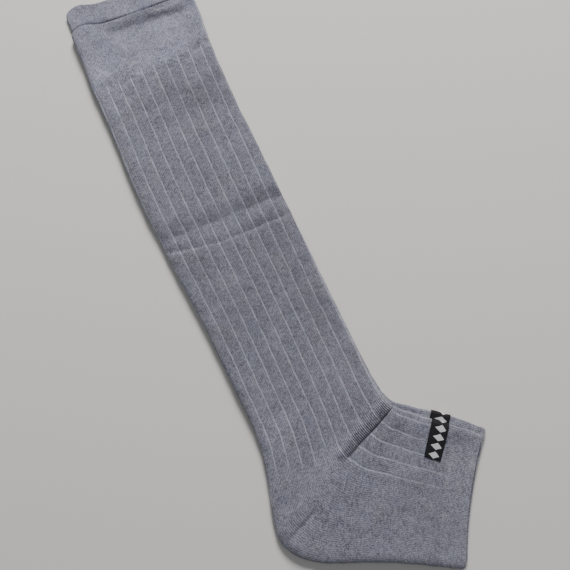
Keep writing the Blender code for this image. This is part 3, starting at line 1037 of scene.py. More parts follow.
cuff_points, cuff_rib, _, _ = sock_wall(cuff_rows, cuff_depths, False, CUFF_WALLS, False, True)
print("grid of the upper cuff:", cuff_points.shape[:2])
print("its height, mm:", cuff_points[..., 2].min().round(2), "to", cuff_points[..., 2].max().round(2))

# %% [markdown]
# ## From a grid to a mesh
#
# Neighbouring points of a grid make its faces, and the last row or column joins the first one again
# where the grid is closed. We write points and faces straight into the mesh with `foreach_set`, which
# takes whole arrays and is far quicker than adding them one by one. A map (UV) has a value for each
# face corner, and an attribute has one for each point.

# %% Grids, maps and attributes
def grid_corners(rows, columns, closed):
    """Row and column of each face's first corner, then those of the corner across from it."""
    i, j = np.meshgrid(
        np.arange(rows if closed else rows - 1),
        np.arange(columns if closed else columns - 1),
        indexing="ij",
    )
    i, j = i.ravel(), j.ravel()
    return i, j, (i + 1) % rows, (j + 1) % columns


def at_corners(values, corners):
    """A grid's values at the four corners of each face, in order round the face."""
    i, j, next_i, next_j = corners
    return np.stack([values[i, j], values[i, next_j], values[next_i, next_j], values[next_i, j]], 1)


def grid_object(name, points, closed):
    """A mesh object from a grid of points in plan millimetres, closed on itself where asked."""
    rows, columns, _ = points.shape
    corners = grid_corners(rows, columns, closed)
    quads = at_corners(np.arange(rows * columns).reshape(rows, columns), corners)
    place = (points - np.array([*PLAN_CENTRE, 0.0])) * MM
    mesh = bpy.data.meshes.new(name)
    mesh.vertices.add(rows * columns)
    mesh.vertices.foreach_set("co", place.astype(np.float32).ravel())
    mesh.loops.add(quads.size)
    mesh.loops.foreach_set("vertex_index", quads.astype(np.int32).ravel())
    mesh.polygons.add(len(quads))
    mesh.polygons.foreach_set("loop_start", np.arange(0, quads.size, 4, dtype=np.int32))
    mesh.update(calc_edges=True)
    mesh.shade_smooth()
    piece = bpy.data.objects.new(name, mesh)
    bpy.context.scene.collection.objects.link(piece)
    return piece, corners


def set_map(piece, name, u, v):
    """A map with a pair of numbers for each corner of each face."""
    layer = piece.data.uv_layers.new(name=name)
    layer.data.foreach_set("uv", np.stack([u, v], 2).astype(np.float32).ravel())


def set_attribute(piece, name, values):
    """A number for each point, which a finish can read."""
    layer = piece.data.attributes.new(name, "FLOAT", "POINT")
    layer.data.foreach_set("value", values.astype(np.float32).ravel())


for closed in (False, True):
    print("faces of a grid of 4 x 5 points:", len(grid_corners(4, 5, closed)[0]), "closed:", closed)

# %% [markdown]
# ## The map of the knit
#
# The stitches follow the knitting, not the picture plane. So the knit has its own map: U is the rib
# number round the sock, and V is how many millimetres of knitting lie between a point and the end of
# its piece. On the leg V counts from the cuff's side, and past the ankle it counts from the toe's. The
# two meet at the ankle's deep line, where a real heel also changes its direction of knitting.

# %% Lengths along the ribs
MAP_SAMPLES = 600
RIM_RUN = 1.4  # mm of knitting round a rim
TINY = 1e-6


def knit_run(where, rib, first, last, lower, walls):
    """Millimetres of knitting from the cuff's side of a piece and from its toe's side.

    The steps down each column of a plain skin are added up, and then read off in straight lines:
    first between two sections, then between two ribs, one row of the grid at a time.
    """
    dense = np.linspace(first, last, MAP_SAMPLES)
    plain = skin(dense, lower, walls, 0.0, False, False)
    steps = np.hypot(np.diff(plain.x, axis=0), np.diff(plain.y, axis=0))
    lengths = np.concatenate([np.zeros((1, steps.shape[1])), np.cumsum(steps, axis=0)])
    place = np.interp(where, dense, np.arange(MAP_SAMPLES))
    low = np.clip(np.floor(place).astype(int), 0, MAP_SAMPLES - 2)
    t = (place - low)[:, None]
    here = lengths[low] * (1 - t) + lengths[low + 1] * t
    down = np.array([np.interp(*row) for row in zip(rib, plain.rib[low], here)])
    return down, np.interp(rib, plain.rib[-1], lengths[-1]) - down


def set_knit_map(piece, corners, where, rib, down, up):
    """U is the rib number, which runs on past the last column, so that the ring closes smoothly."""
    u = at_corners(rib, corners)
    u[:, 1:3] += np.where(corners[3] == 0, float(RIBS_ROUND), 0.0)[:, None]
    foot = where[corners[0]] > number_of("ankle") - TINY
    v = np.where(foot[:, None], at_corners(up, corners), at_corners(down, corners))
    set_map(piece, "knit", u, v)


cuff_down, _ = knit_run(cuff_rows, cuff_rib, 0.0, number_of("cuff_seam"), False, CUFF_WALLS)
longest = cuff_down.max(axis=0)
print("knitting down the cuff, mm:", longest.min().round(1), "to", longest.max().round(1))

# %% [markdown]
# ## Where the stitches bunch
#
# On the leg's side of the ankle line, and on both sides of the heel's, there is more cloth than room,
# so the stitches stand together in fine gathers, with painted shade in the gaps between them. They are
# finer than the mesh. We only note how bunched each point is, and the finish draws the gathers from
# the wales.

# %% Gathers
ANKLE_BAND = (0.7, 5.5, 4.4)  # mm to full strength, mm to where it starts to fade, and its fade
HEEL_BAND = (0.8, 3.0, 5.0)
SOLE_BAND = (0.8, 1.0, 3.0)
SOLE_SHARE = 0.5
HEEL_SHARE = 0.4
HEEL_START = 0.3
GATHER_WOBBLE = ((0.2, 11.0, 1.0),)
GATHER_MEAN = 0.8
GATHER_FLOOR = 1.2  # mm over the upper sock's base
GATHER_RISE = 0.8


def band(across, start, even, fade):
    """0 on the line, rising straight to 1 at start, and a bell's fall past the even stretch."""
    return np.clip(across / start, 0, 1) * bell(np.maximum(across - even, 0), fade)


def gather_mask(x, y):
    """How bunched the stitches are: a band beside the ankle line, and two along the heel's."""
    part, across, fade = line_frame(x, y, *ANKLE_LINE)
    ankle = band(-across, *ANKLE_BAND) * fade * wobble(part, 1.0, GATHER_WOBBLE, GATHER_MEAN)
    part, across, fade = line_frame(x, y, *HEEL_LINE)
    heel = band(-across, *HEEL_BAND) + SOLE_SHARE * band(across, *SOLE_BAND)
    return np.clip(ankle + HEEL_SHARE * heel * fade * np.clip(HEEL_START + part, 0, 1), 0, 1)


def gathers(points, depth, lower):
    """The gathers of the upper sock's outer skin, on top only: 0 for every other point."""
    if lower:
        return np.zeros(points.shape[:2])
    raised = np.clip((points[..., 2] - UPPER_BASE - GATHER_FLOOR) / GATHER_RISE, 0, 1)
    return gather_mask(points[..., 0], points[..., 1]) * raised * (depth[:, None] < 0.5)


print("bunched 4 mm above the ankle line:", gather_mask(np.array(53.0), np.array(13.0)).round(2))

# %% [markdown]
# ## One stretch of a sock
#
# Everything is ready to make a piece: its rows, its wall, its mesh, its map and the four numbers that
# its finish reads. Those are where the ribs run, how much painted shade a point gets, how near it is
# to the paler cuff, and how bunched its stitches are.

# %% Make a piece
CUFF_BLEED = 5.0  # mm over which the cuff's paler tone fades into the leg


def near_cuff(where, lower):
    """1 at the cuff's seam, falling to 0 in a straight line down the leg."""
    run, _ = end_distance(where, lower)
    seams, _ = end_distance(SEAMS, lower)
    return np.clip(1 - (run - seams[0]) / CUFF_BLEED, 0, 1)[:, None]


def make_sock_piece(name, first, last, lower, walls, ribbed, ends):
    """One stretch of a sock, with its knit map and the numbers that its finish reads."""
    first, last = number_of(first), number_of(last)
    spacing = LOWER_SPACING if lower else UPPER_SPACING
    where, depth = ring_rows(first, last, lower, spacing, *ends)
    points, rib, mask, shade = sock_wall(where, depth, lower, walls, ribbed, not lower)
    piece, corners = grid_object(name, points, True)
    down, up = knit_run(where, rib, first, last, lower, walls)
    open_start, open_end = ends
    round_rim = (RIM_RUN * depth * (float(open_end) - float(open_start)))[:, None]
    set_knit_map(piece, corners, where, rib, down + round_rim, up - round_rim)
    set_attribute(piece, "rib_runs", mask)
    # The painted shade of creases, deep lines and patches, which darkens or pales the colour.
    set_attribute(piece, "painted_shade", shade)
    set_attribute(piece, "near_cuff", near_cuff(where, lower) + 0 * rib)
    set_attribute(piece, "gathers", gathers(points, depth, lower))
    return piece


below_seam = near_cuff(SEAMS[0] + np.array([0.0, 0.1, 0.2]), False).ravel()
print("the cuff's tone at its seam and just below it:", below_seam.round(2))

# %% [markdown]
# ## Writing shader maths as plain sums
#
# Node trees are easier to read as formulas. `Value` wraps one output of a node, and each of Python's
# own signs adds the Math node that it stands for, so that `1 - a * 2` is one short line and not a
# dozen clicks. The reflected forms are what makes a plain number work on the left.

# %% Values of a node tree
class Value:
    """One output of a node, with Python's operators turned into Math nodes."""

    def __init__(self, finish, socket):
        self.finish, self.socket = finish, socket

    def maths(self, operation, *values):
        return self.finish.add("ShaderNodeMath", {"operation": operation}, dict(enumerate(values)))

    def __add__(self, other):
        return self.maths("ADD", self, other)

    __radd__ = __add__

    def __sub__(self, other):
        return self.maths("SUBTRACT", self, other)

    def __rsub__(self, other):
        return self.maths("SUBTRACT", other, self)

    def __mul__(self, other):
        return self.maths("MULTIPLY", self, other)

    __rmul__ = __mul__

    def __truediv__(self, other):
        return self.maths("DIVIDE", self, other)

    def __rtruediv__(self, other):
        return self.maths("DIVIDE", other, self)

    def part(self):
        """What is left over a whole number."""
        return self.maths("FRACT", self)

    def whole(self):
        return self.maths("FLOOR", self)

    def size(self):
        return self.maths("ABSOLUTE", self)

    def sine(self):
        return self.maths("SINE", self)

    def power(self, other):
        return self.maths("POWER", self, other)

    def step(self, low, high):
        """A soft step: 0 below low, 1 above high."""
        values = {"Value": self, "From Min": low, "From Max": high}
        return self.finish.add("ShaderNodeMapRange", {"interpolation_type": "SMOOTHSTEP"}, values)


print("a Value can:", [name for name in vars(Value) if not name.startswith("__")])

# %% [markdown]
# ## Making any other node
#
# `Finish` holds a material while we make it. Its one method `add` makes any node from a type, its
# settings and the values or links of its sockets. The other methods only give plain names to the few
# nodes that every finish here needs: a place, a map, a noise, a mix of two colours and a bump.

# %% Finishes
class Finish:
    """A material in the making."""

    def __init__(self, name):
        self.material = bpy.data.materials.new(name)
        self.material.use_nodes = True
        self.tree = self.material.node_tree
        self.shader = self.tree.nodes["Principled BSDF"]

    def add(self, kind, settings, values, output=0):
        """A node, its settings, then its sockets: a number or colour is set, a Value is linked."""
        node = self.tree.nodes.new(kind)
        for key, value in settings.items():
            setattr(node, key, value)
        for key, value in values.items():
            self.put(node.inputs[key], value)
        return Value(self, node.outputs[output])

    def put(self, socket, value):
        if isinstance(value, Value):
            self.tree.links.new(value.socket, socket)
        else:
            socket.default_value = value

    def place(self):
        """The point's own place on its piece, in metres."""
        return self.add("ShaderNodeTexCoord", {}, {}, output="Object")

    def map_values(self, name):
        """U and V of one of the piece's maps."""
        vector = self.add("ShaderNodeUVMap", {"uv_map": name}, {})
        return [self.add("ShaderNodeSeparateXYZ", {}, {0: vector}, output=axis) for axis in "XY"]

    def attribute(self, name):
        return self.add("ShaderNodeAttribute", {"attribute_name": name}, {}, output="Fac")

    def pair(self, x, y):
        """Two numbers as a vector, for a texture to read."""
        return self.add("ShaderNodeCombineXYZ", {}, {0: x, 1: y, 2: 0.0})

    def noise(self, vector, scale, detail=2.0, roughness=0.5):
        values = {"Vector": vector, "Scale": scale, "Detail": detail, "Roughness": roughness}
        return self.add("ShaderNodeTexNoise", {}, values)

    def chance(self, x, y):
        """A random number, from 0 to 1, for each pair of whole numbers."""
        settings = {"noise_dimensions": "2D"}
        return self.add("ShaderNodeTexWhiteNoise", settings, {"Vector": self.pair(x, y)})

    def mix(self, share, first, second, blend="MIX"):
        """One colour fading into another, or multiplied by it."""
        settings = {"data_type": "RGBA", "blend_type": blend}
        return self.add("ShaderNodeMix", settings, {"Factor": share, 6: first, 7: second}, output=2)

    def bump(self, height, distance, strength):
        values = {"Height": height, "Distance": distance, "Strength": strength}
        return self.add("ShaderNodeBump", {}, values)

    def surface(self, **values):
        """Sets or links the shader's own sockets, and gives the material back."""
        for key, value in values.items():
            self.put(self.shader.inputs[key.replace("_", " ")], value)
        return self.material


print("a Finish can:", [name for name in vars(Finish) if not name.startswith("__")])

# %% [markdown]
# ## Drawing the stitches
#
# Plain knit is rows of small V's: each stitch is two slanted legs, one course high. We draw them from
# the knit map. `across` is 0 in the middle of a wale and 1 at its edges, the course is pushed up by
# it, which slants the legs, and each leg is a low arch across times a sine along. At 8 wales a rib a
# stitch is a millimetre wide, which is right for a fine sock.

# %% Stitches
WALES_PER_RIB = 8.0
COURSE = 0.64  # mm
STITCH_SLANT = 0.75
LOOP_SHARE = 0.6
Knit = namedtuple("Knit", "rib length wale course across slanted stitch")


def drawn_knit(f):
    """The knit as numbers: wale and course, the slanted course, and how proud a stitch stands."""
    rib, length = f.map_values("knit")
    wale = rib * WALES_PER_RIB
    course = length / COURSE
    across = (wale.part() - 0.5).size() * 2
    slanted = course - across * STITCH_SLANT
    leg = 1 - (across * 2 - 1).power(2)
    loop = (slanted.part() * np.pi).sine()
    stitch = leg * (loop * LOOP_SHARE + (1 - LOOP_SHARE))
    return Knit(rib, length, wale, course, across, slanted, stitch)


print("stitches round the leg:", int(RIBS_ROUND * WALES_PER_RIB))

# %% [markdown]
# ## The melange
#
# Melange yarn is spun from dark and pale fibres, so no two stitches have quite the same grey. The eye
# sees a fine speckle, short dashes along the courses and soft clouds. Each is a random or a noise
# texture with a share of its own in one tone, which then picks a grey between the two fibres' colours.

# %% Melange
TONE_BASE = 0.04
SPECKLE_SHARE = 0.7
DASH_SHARE = 0.22
DASH_SEED = 31
STREAK_SHARE = 0.55
STREAK_STRETCH = (0.33, 1.1)  # cells for each wale and for each course
STREAK = (1.0, 2.0, 0.6)  # scale, detail, roughness
MELANGE_NOISES = {
    # name: cells a metre, detail, roughness, share of the tone
    "grain": (1500.0, 2.0, 0.7, 0.45),
    "cloud": (55.0, 3.0, 0.6, 0.5),
    "patch": (260.0, 2.0, 0.6, 0.35),
}
TINT = (90.0, 1.0, 0.5)  # cells a metre, detail, roughness
TINT_LOW, TINT_CONTRAST = 0.3, 2.2
COOL_TINT = (0.965, 1.0, 1.03, 1.0)
WARM_TINT = (1.035, 1.0, 0.975, 1.0)


def colour(red, green, blue):
    """A screen colour, from 0 to 255, as the linear colour that a shader takes."""
    screen = np.array([red, green, blue]) / 255
    linear = np.where(screen <= 0.04045, screen / 12.92, ((screen + 0.055) / 1.055) ** 2.4)
    return (*linear.tolist(), 1.0)


def melange(f, place, knit, dark, light):
    """The yarn's colour, and the noises behind it: tone = base + the sum of share * texture."""
    speckle = f.chance((knit.wale * 2).whole(), knit.slanted.whole())
    dash = f.chance((knit.wale / 2).whole() + DASH_SEED, knit.slanted.whole())
    flow = f.pair(knit.wale * STREAK_STRETCH[0], knit.course * STREAK_STRETCH[1])
    streak = f.noise(flow, *STREAK)
    tone = speckle * SPECKLE_SHARE + dash * DASH_SHARE + (streak - 0.5) * STREAK_SHARE + TONE_BASE
    noises = {}
    for name, (scale, detail, roughness, share) in MELANGE_NOISES.items():
        noises[name] = f.noise(place, scale, detail, roughness)
        tone = tone + (noises[name] - 0.5) * share
    tint = f.mix((f.noise(place, *TINT) - TINT_LOW) * TINT_CONTRAST, COOL_TINT, WARM_TINT)
    return f.mix(1.0, f.mix(tone, dark, light), tint, "MULTIPLY"), noises


print("noises of the melange:", list(MELANGE_NOISES))

# %% [markdown]
# ## Dropped stitches and gathers
#
# A dropped stitch leaves a ladder of bare yarn, which catches the light, so it shows as a thin pale
# line with a rung for each course, stronger here and weaker there. The gathers are painted shade in
# the gaps between wales that have been pushed together, with a painted highlight on the wales
# themselves.
# Both read the piece's attributes, so they start and stop where the mesh says.

# %% Ladders and gathers
LADDER_EDGE = (0.026, 0.062)  # of the distance between two ribs
LADDER_PATTERNS = (
    # seed, cells for each mm of length, share of the strength
    (0, 0.11, 2.1),
    (7, 0.8, 1.8),
)
LADDER_MEAN = 0.66
RUNG_MEAN, RUNG_SIZE = 0.55, 0.5
RIB_DIM = 0.09
CUFF_GLOW = 0.5
# painted shade in the gaps of the gathers, and a painted highlight on their wales
GATHER_SHADE_CONTRAST, GATHER_HIGHLIGHT = 1.35, 0.46
GATHER_WAVER = 0.6
# how much the painted shade darkens the colour
PAINTED_SHADE_DIM = 0.48


def with_ladders(f, knit, runs, shade, pale):
    """The dropped stitches: the pale yarn where a point is near a rib and the ladder is strong."""
    off = ((knit.rib + 0.5).part() - 0.5).size()
    line = 1 - off.step(*LADDER_EDGE)
    strength = LADDER_MEAN
    for seed, cells, share in LADDER_PATTERNS:
        pattern = f.noise(f.pair(knit.rib.whole() + seed, knit.length * cells), 1.0)
        strength = strength + (pattern - 0.5) * share
    rung = (knit.course.part() * np.pi).sine() * RUNG_SIZE + RUNG_MEAN
    return f.mix((line * runs * strength * rung).step(0.0, 1.0), shade, pale)


def gather_ripple(knit, cloud):
    """1 on a wale and 0 in the gap beside it, along lines that waver with the clouds."""
    turn = (knit.wale + (cloud - 0.5) * GATHER_WAVER) * (2 * np.pi) + np.pi / 2
    return 0.5 - turn.sine() * 0.5


def dimmed(f, bunch, ripple):
    """Painted shade: darker in the gaps of the gathers and in a hollow, paler on a bunched wale."""
    gaps = 1 - bunch * ((1 - ripple) * GATHER_SHADE_CONTRAST - GATHER_HIGHLIGHT)
    return gaps * (1 - f.attribute("painted_shade") * PAINTED_SHADE_DIM)


print("a ladder takes up", 2 * LADDER_EDGE[1], "of the distance between two ribs")

# %% [markdown]
# ## The knit's finish
#
# The parts come together: yarn, ladders, gathers, and a painted shadow in the furrow between two
# wales, with a painted highlight on each stitch. Knitted cotton is matt with a soft nap, so the shader
# is rough, with little gloss and some sheen, which is the light that loose fibres catch at a low
# angle.
# Bump gives the stitches and the fuzz their relief. The cuff and the toe band are plain knit in
# slightly paler greys.

# %% Knit finish
# painted highlight on each stitch, and painted shadow in the furrow between two wales
STITCH_HIGHLIGHT, GREY_BASE, FURROW_DIM = 0.34, 0.84, 0.50
PATCH_LIFT = 0.1
FUZZ = (5200.0, 3.0, 0.7)  # cells a metre, detail, roughness
STITCH_BUMP, FUZZ_BUMP, GATHER_BUMP = 0.9, 0.45, 2.6
BUMP_DISTANCE = 0.00014
BUMP_STRENGTH = 0.75


def knit_finish(name, dark, light, pale, ribbed):
    """The melange knit: stitches, speckle, clouds, pale ribs, bunched lines at the creases, painted
    shade.
    """
    f = Finish(name)
    place = f.place()
    knit = drawn_knit(f)
    shade, noises = melange(f, place, knit, dark, light)
    bunch = f.attribute("gathers")
    ripple = gather_ripple(knit, noises["cloud"])
    painted_shade_and_tone = dimmed(f, bunch, ripple)
    if ribbed:
        runs = f.attribute("rib_runs")
        glow = f.attribute("near_cuff") * (noises["patch"] + PATCH_LIFT) * CUFF_GLOW
        shade = with_ladders(f, knit, runs, shade, pale)
        painted_shade_and_tone = painted_shade_and_tone * (1 - runs * RIB_DIM) * (1 + glow)
    # Painted shade and highlight of the stitches, multiplied into the colour with the other painted
    # shade.
    gap = knit.stitch * STITCH_HIGHLIGHT + GREY_BASE - knit.across.power(3) * FURROW_DIM
    grey = painted_shade_and_tone * gap
    grey = f.add("ShaderNodeCombineColor", {}, {0: grey, 1: grey, 2: grey})
    shade = f.mix(1.0, shade, grey, "MULTIPLY")
    height = knit.stitch * STITCH_BUMP + f.noise(place, *FUZZ) * FUZZ_BUMP
    bump = f.bump(height + bunch * ripple * GATHER_BUMP, BUMP_DISTANCE, BUMP_STRENGTH)
    f.surface(Sheen_Weight=0.38, Sheen_Roughness=0.55, Specular_IOR_Level=0.25)
    return f.surface(Base_Color=shade, Roughness=0.94, Normal=bump)


PALE = colour(184, 187, 200)
KNITS = {
    # piece: finish, dark fibre, light fibre, ribbed
    "leg_foot": ("melange_rib_knit", colour(80, 79, 91), colour(152, 152, 166), True),
    "toe_band": ("melange_plain_knit", colour(88, 87, 98), colour(161, 161, 174), False),
    "cuff": ("melange_cuff_knit", colour(93, 93, 107), colour(162, 163, 179), False),
}
knits = {}
for stretch, (finish_name, dark, light, ribbed) in KNITS.items():
    knits[stretch] = knit_finish(finish_name, dark, light, PALE, ribbed)
    print(finish_name, "nodes:", len(knits[stretch].node_tree.nodes))

# %% [markdown]
# ## The two socks
#
# Now the pieces, each in the place of its solid. The upper sock is made fine, because it is what we
# look at. The lower one shows only its cuff, its instep and its edges, so it can be coarser. `attach`
# fixes a piece to its body, and `hide_parts` hides the solid that it stands for.

# %% Make the socks
STRETCHES = (
    # stretch, first and last section, upper walls (top, under), ribbed, open at start and end, slot
    ("cuff", "cuff_top", "cuff_seam", CUFF_WALLS, False, (True, False), "cuff_knit"),
    ("leg_foot", "cuff_seam", "toe_seam", LEG_WALLS, True, (False, False), "leg_knit"),
    ("toe_band", "toe_seam", "toe_edge", BAND_WALLS, False, (False, True), "toe_band_knit"),
)


def cloth_area(piece):
    """Half of the closed wall's surface, which is the area of its cloth, in square metres."""
    areas = np.empty(len(piece.data.polygons))
    piece.data.polygons.foreach_get("area", areas)
    return areas.sum() / 2


socks = {}
for side in ("lower", "upper"):
    lower = side == "lower"
    for stretch, first, last, walls, ribbed, ends, slot in STRETCHES:
        walls = LOWER_WALLS if lower else walls
        name = f"{side}_{stretch}_cloth"
        piece = make_sock_piece(name, first, last, lower, walls, ribbed, ends)
        piece.data.materials.append(knits[stretch])
        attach(piece, "root")
        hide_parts(f"{side}_{stretch}")
        socks[side, stretch] = piece
        print(name, "area of cloth, m2:", round(cloth_area(piece), 5))

# %% [markdown]
# ## What each piece rests on
#
# Laid out, a piece is as long round as twice the width of its sections, and as long as the middle of
# its panel. The pieces of the upper sock rest on the lower sock's leg; for the lower sock the list
# of what it rests on is empty.

for (side, stretch), piece in socks.items():
    rests = ["lower_leg_foot_cloth"] if side == "upper" else []

# %% [markdown]
# ## The labels
#
# On each instep sits a small dark woven patch, turned down over the fold. It is a strip laid on the
# panel's own points, so it follows the sock wherever that lies: first inwards over the panel, then
# round the fold. Solidify gives it its thickness. On the lower sock only its end shows.

# %% Shape of a label
LABEL_AT_FOLD = (20.64, 22.80)  # section numbers of its two sides, at the fold
LABEL_INSIDE = (20.86, 22.26)  # and at its inner end
LABEL_LENGTH = 23.6
LOWER_LABEL_LENGTH = 4.5
LOWER_LABEL_SLIP = 0.2  # the lower label shows a little nearer the heel
LABEL_LIFT = 0.12
LABEL_THICKNESS = 0.5
LABEL_RELIEF = 0.9  # of the sock's relief, as the label is stiffer
LABEL_LOWEST = -0.2  # as deep as it dips into a hollow
PANEL_WIDTH = 90.0  # the sock's width under the label
WEAVE_WIDTH = 11.6
ACROSS_POINTS = 25
FOLD_POINTS = 9


def label_grid(length, lower, thickness, lowest_turn, points_along):
    """Points of a strip over the panel and round the fold, and the length along it.

    Over the panel the height is the sock's own, plus a small lift. Round the fold it is a circle,
    radius + lift, from straight up to the lowest turn.
    """
    radius = thickness / 2
    base = 0.0 if lower else UPPER_BASE
    inwards = np.linspace(length, radius, points_along)
    turns = np.linspace(np.pi / 2, lowest_turn, FOLD_POINTS)[1:]
    distance = np.concatenate([inwards, radius - (radius + LABEL_LIFT) * np.cos(turns)])
    run = np.concatenate([inwards, radius - radius * (np.pi / 2 - turns)])
    sides = np.linspace(0, 1, ACROSS_POINTS)[:, None]
    at_fold = LABEL_AT_FOLD[0] + sides * (LABEL_AT_FOLD[1] - LABEL_AT_FOLD[0])
    inside = LABEL_INSIDE[0] + sides * (LABEL_INSIDE[1] - LABEL_INSIDE[0])
    where = at_fold + (inside - at_fold) * np.clip(distance / LABEL_LENGTH, 0, 1)[None]
    where = where - (LOWER_LABEL_SLIP if lower else 0)
    distances = np.broadcast_to(distance, where.shape)
    x, y = plan(where.ravel(), distances.reshape(-1, 1), lower)
    x, y = x.reshape(where.shape), y.reshape(where.shape)
    z = np.full(where.shape, base + thickness + LABEL_LIFT)
    if not lower:
        shoulder = shoulder_of(distances / PANEL_WIDTH)
        rise = LOFT * shoulder + relief(x, y)[0] * LABEL_RELIEF + CROWN / 2
        z = z + np.maximum(rise, LABEL_LOWEST)
    z[:, points_along:] = base + radius + (radius + LABEL_LIFT) * np.sin(turns)[None]
    return np.stack([x, y, z], axis=2), sides * WEAVE_WIDTH, run


def make_label(name, *sizes):
    """The strip of these sizes as a mesh, with a map of its weave: mm across it and along it."""
    points, side, run = label_grid(*sizes)
    piece, corners = grid_object(name, points[::-1], False)
    shape = points.shape[:2]
    across = np.broadcast_to(side[::-1], shape)
    along = np.broadcast_to(run, shape)
    set_map(piece, "weave", at_corners(across, corners), at_corners(along, corners))
    wall = piece.modifiers.new("thickness", "SOLIDIFY")
    wall.thickness = LABEL_THICKNESS * MM
    wall.offset = 1.0
    return piece


print("label, mm:", WEAVE_WIDTH, "wide,", LABEL_LENGTH, "over the panel")

# %% [markdown]
# ## The weave of the labels
#
# A woven label is fine and tight: black warp and weft that cross in tiny squares, an edge that is
# closed so that it doesn't fray, and a pattern in pale thread. Here the pattern is a plain row of
# diamonds along the middle. A diamond is where the distances across and along, added up, stay small.

# %% Label finish
DIAMOND_PITCH = 5.7
DIAMOND_START = 1.2
DIAMOND_HALF_LENGTH = 2.35
DIAMOND_HALF_WIDTH = 3.7
DIAMOND_EDGE = (0.93, 1.04)
WARP, WEFT = 0.42, 0.34  # mm
CLOSED_EDGE = (5.15, 5.6)  # mm from the middle
FLECK = (1800.0, 2.0, 0.6)  # cells a metre, detail, roughness
BLACK_THREAD, BLACK_FLECK = 0.5, 0.4
PALE_THREAD, PALE_FLECK = 0.6, 0.3
DIAMOND_BUMP, EDGE_BUMP = 0.9, 0.8
WEAVE_DISTANCE, WEAVE_STRENGTH = 0.0001, 0.8


def label_finish():
    """A dark woven strip: a fine weave, a closed edge, and pale diamonds along its middle."""
    f = Finish("dark_woven_label")
    across, along = f.map_values("weave")
    off_middle = (across - WEAVE_WIDTH / 2).size()
    from_centre = (((along - DIAMOND_START) / DIAMOND_PITCH).part() - 0.5).size() * DIAMOND_PITCH
    reach = from_centre / DIAMOND_HALF_LENGTH + off_middle / DIAMOND_HALF_WIDTH
    diamond = 1 - reach.step(*DIAMOND_EDGE)
    warp = (across * (2 * np.pi / WARP)).sine()
    weft = (along * (2 * np.pi / WEFT)).sine()
    thread = warp * weft * 0.5 + 0.5
    fleck = f.noise(f.place(), *FLECK)
    black = f.mix(thread * BLACK_THREAD + fleck * BLACK_FLECK, colour(8, 8, 11), colour(27, 26, 32))
    pale_mix = thread * PALE_THREAD + fleck * PALE_FLECK
    pale = f.mix(pale_mix, colour(168, 167, 170), colour(222, 221, 222))
    height = thread + diamond * DIAMOND_BUMP + off_middle.step(*CLOSED_EDGE) * EDGE_BUMP
    bump = f.bump(height, WEAVE_DISTANCE, WEAVE_STRENGTH)
    f.surface(Specular_IOR_Level=0.3, Roughness=0.72)
    return f.surface(Base_Color=f.mix(diamond, black, pale), Normal=bump)


woven = label_finish()
print(woven.name, "nodes:", len(woven.node_tree.nodes))

# %% [markdown]
# ## Sewing the labels on
#
# The same function makes both, from one row each. The lower label shows less than the shortest
# length that can be declared, so its true area is given as well.

# %% Make the labels
LABELS = (
    # side, length on the panel, height of the sock, lowest turn round the fold in degrees,
    # points along, shown length in metres
    ("lower", LOWER_LABEL_LENGTH, LOWER_HEIGHT, -30, 12, 0.0064),
    ("upper", LABEL_LENGTH, LEG_HEIGHT, -8, 48, 0.0254),
)
for side, length, height, lowest, along, shown in LABELS:
    name = f"{side}_label_patch"
    label = make_label(name, length, side == "lower", height, np.radians(lowest), along)
    label.data.materials.append(woven)
    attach(label, "root")
    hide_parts(f"{side}_label")
    rests = [f"{side}_leg_foot_cloth"]

# %% [markdown]
# ## Floor
#
# The floor is a plain pale sheet, so that nothing competes with the socks, and it is large enough to
# fill every view.

# %% Floor
FLOOR_SIZE = 4.0
bpy.ops.mesh.primitive_plane_add(size=FLOOR_SIZE)
floor = bpy.context.object
floor.name = "floor"
floor.data.materials.append(
    Finish("pale_floor").surface(Base_Color=colour(214, 211, 206), Roughness=0.8)
)
print("floor, m:", tuple(floor.dimensions))

# %% [markdown]
# ## Light
#
# One lamp stands rather low, beyond the cuffs on the shin side, so that its light rakes across the
# ribs and the creases and throws a short shadow past the calf and the sole. A wide, weak one overhead
# and a faint sky fill that shadow. Relief this shallow only shows when the main light comes in at an
# angle.

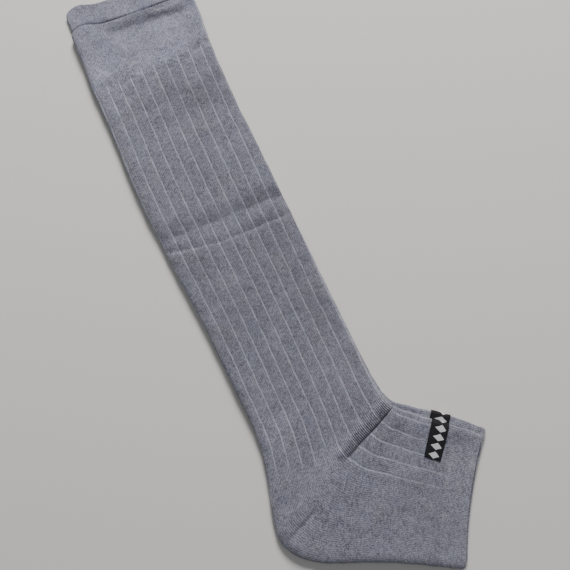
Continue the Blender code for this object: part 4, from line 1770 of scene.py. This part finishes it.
# %% Lamps and sky
LAMPS = (
    # name, place, width in metres, power in watts, tint
    ("key", (0.70, 1.31, 0.95), 0.55, 50.0, (1.0, 0.985, 0.97)),
    ("fill", (-0.2, -0.1, 1.6), 1.8, 3.5, (0.96, 0.98, 1.0)),
)
SKY_TINT = (0.9, 0.93, 1.0, 1.0)
SKY_STRENGTH = 0.17


def lamp(name, place, size, power, tint):
    """A square area lamp that looks at the middle of the pair."""
    light = bpy.data.lights.new(name, "AREA")
    light.size = size
    light.energy = power
    light.color = tint
    holder = bpy.data.objects.new(name, light)
    holder.location = place
    holder.rotation_euler = holder.location.to_track_quat("Z", "Y").to_euler()
    bpy.context.scene.collection.objects.link(holder)


for row in LAMPS:
    lamp(*row)
world = bpy.data.worlds.new("studio")
world.use_nodes = True
sky = world.node_tree.nodes["Background"]
sky.inputs["Color"].default_value = SKY_TINT
sky.inputs["Strength"].default_value = SKY_STRENGTH
bpy.context.scene.world = world
print("lamps:", [row[0] for row in LAMPS])

# %% [markdown]
# ## Camera
#
# The camera hangs straight above, so nothing is foreshortened, and it is turned, so that the legs run
# from the top left of the picture to the bottom. Its focal length follows from the width that the
# picture has to show and from how high it hangs over the cloth.

# %% Camera
VIEW_TURN = -25.3  # degrees, as the legs slant in the picture
VIEW_WIDTH = 0.3591  # metres across the picture, at the cloth
VIEW_HEIGHT = 0.72
VIEW_POINT = (np.array([43.96, 115.1]) - PLAN_CENTRE) * MM
CLOTH_HEIGHT = 0.005
SENSOR = 36.0
lens = bpy.data.cameras.new("above")
lens.sensor_width = SENSOR
lens.lens = SENSOR * (VIEW_HEIGHT - CLOTH_HEIGHT) / VIEW_WIDTH
camera = bpy.data.objects.new("above", lens)
camera.location = (*VIEW_POINT, VIEW_HEIGHT)
camera.rotation_euler = (0, 0, np.radians(VIEW_TURN))
bpy.context.scene.collection.objects.link(camera)
bpy.context.scene.camera = camera
print("focal length, mm:", round(lens.lens, 1))

# %% [markdown]
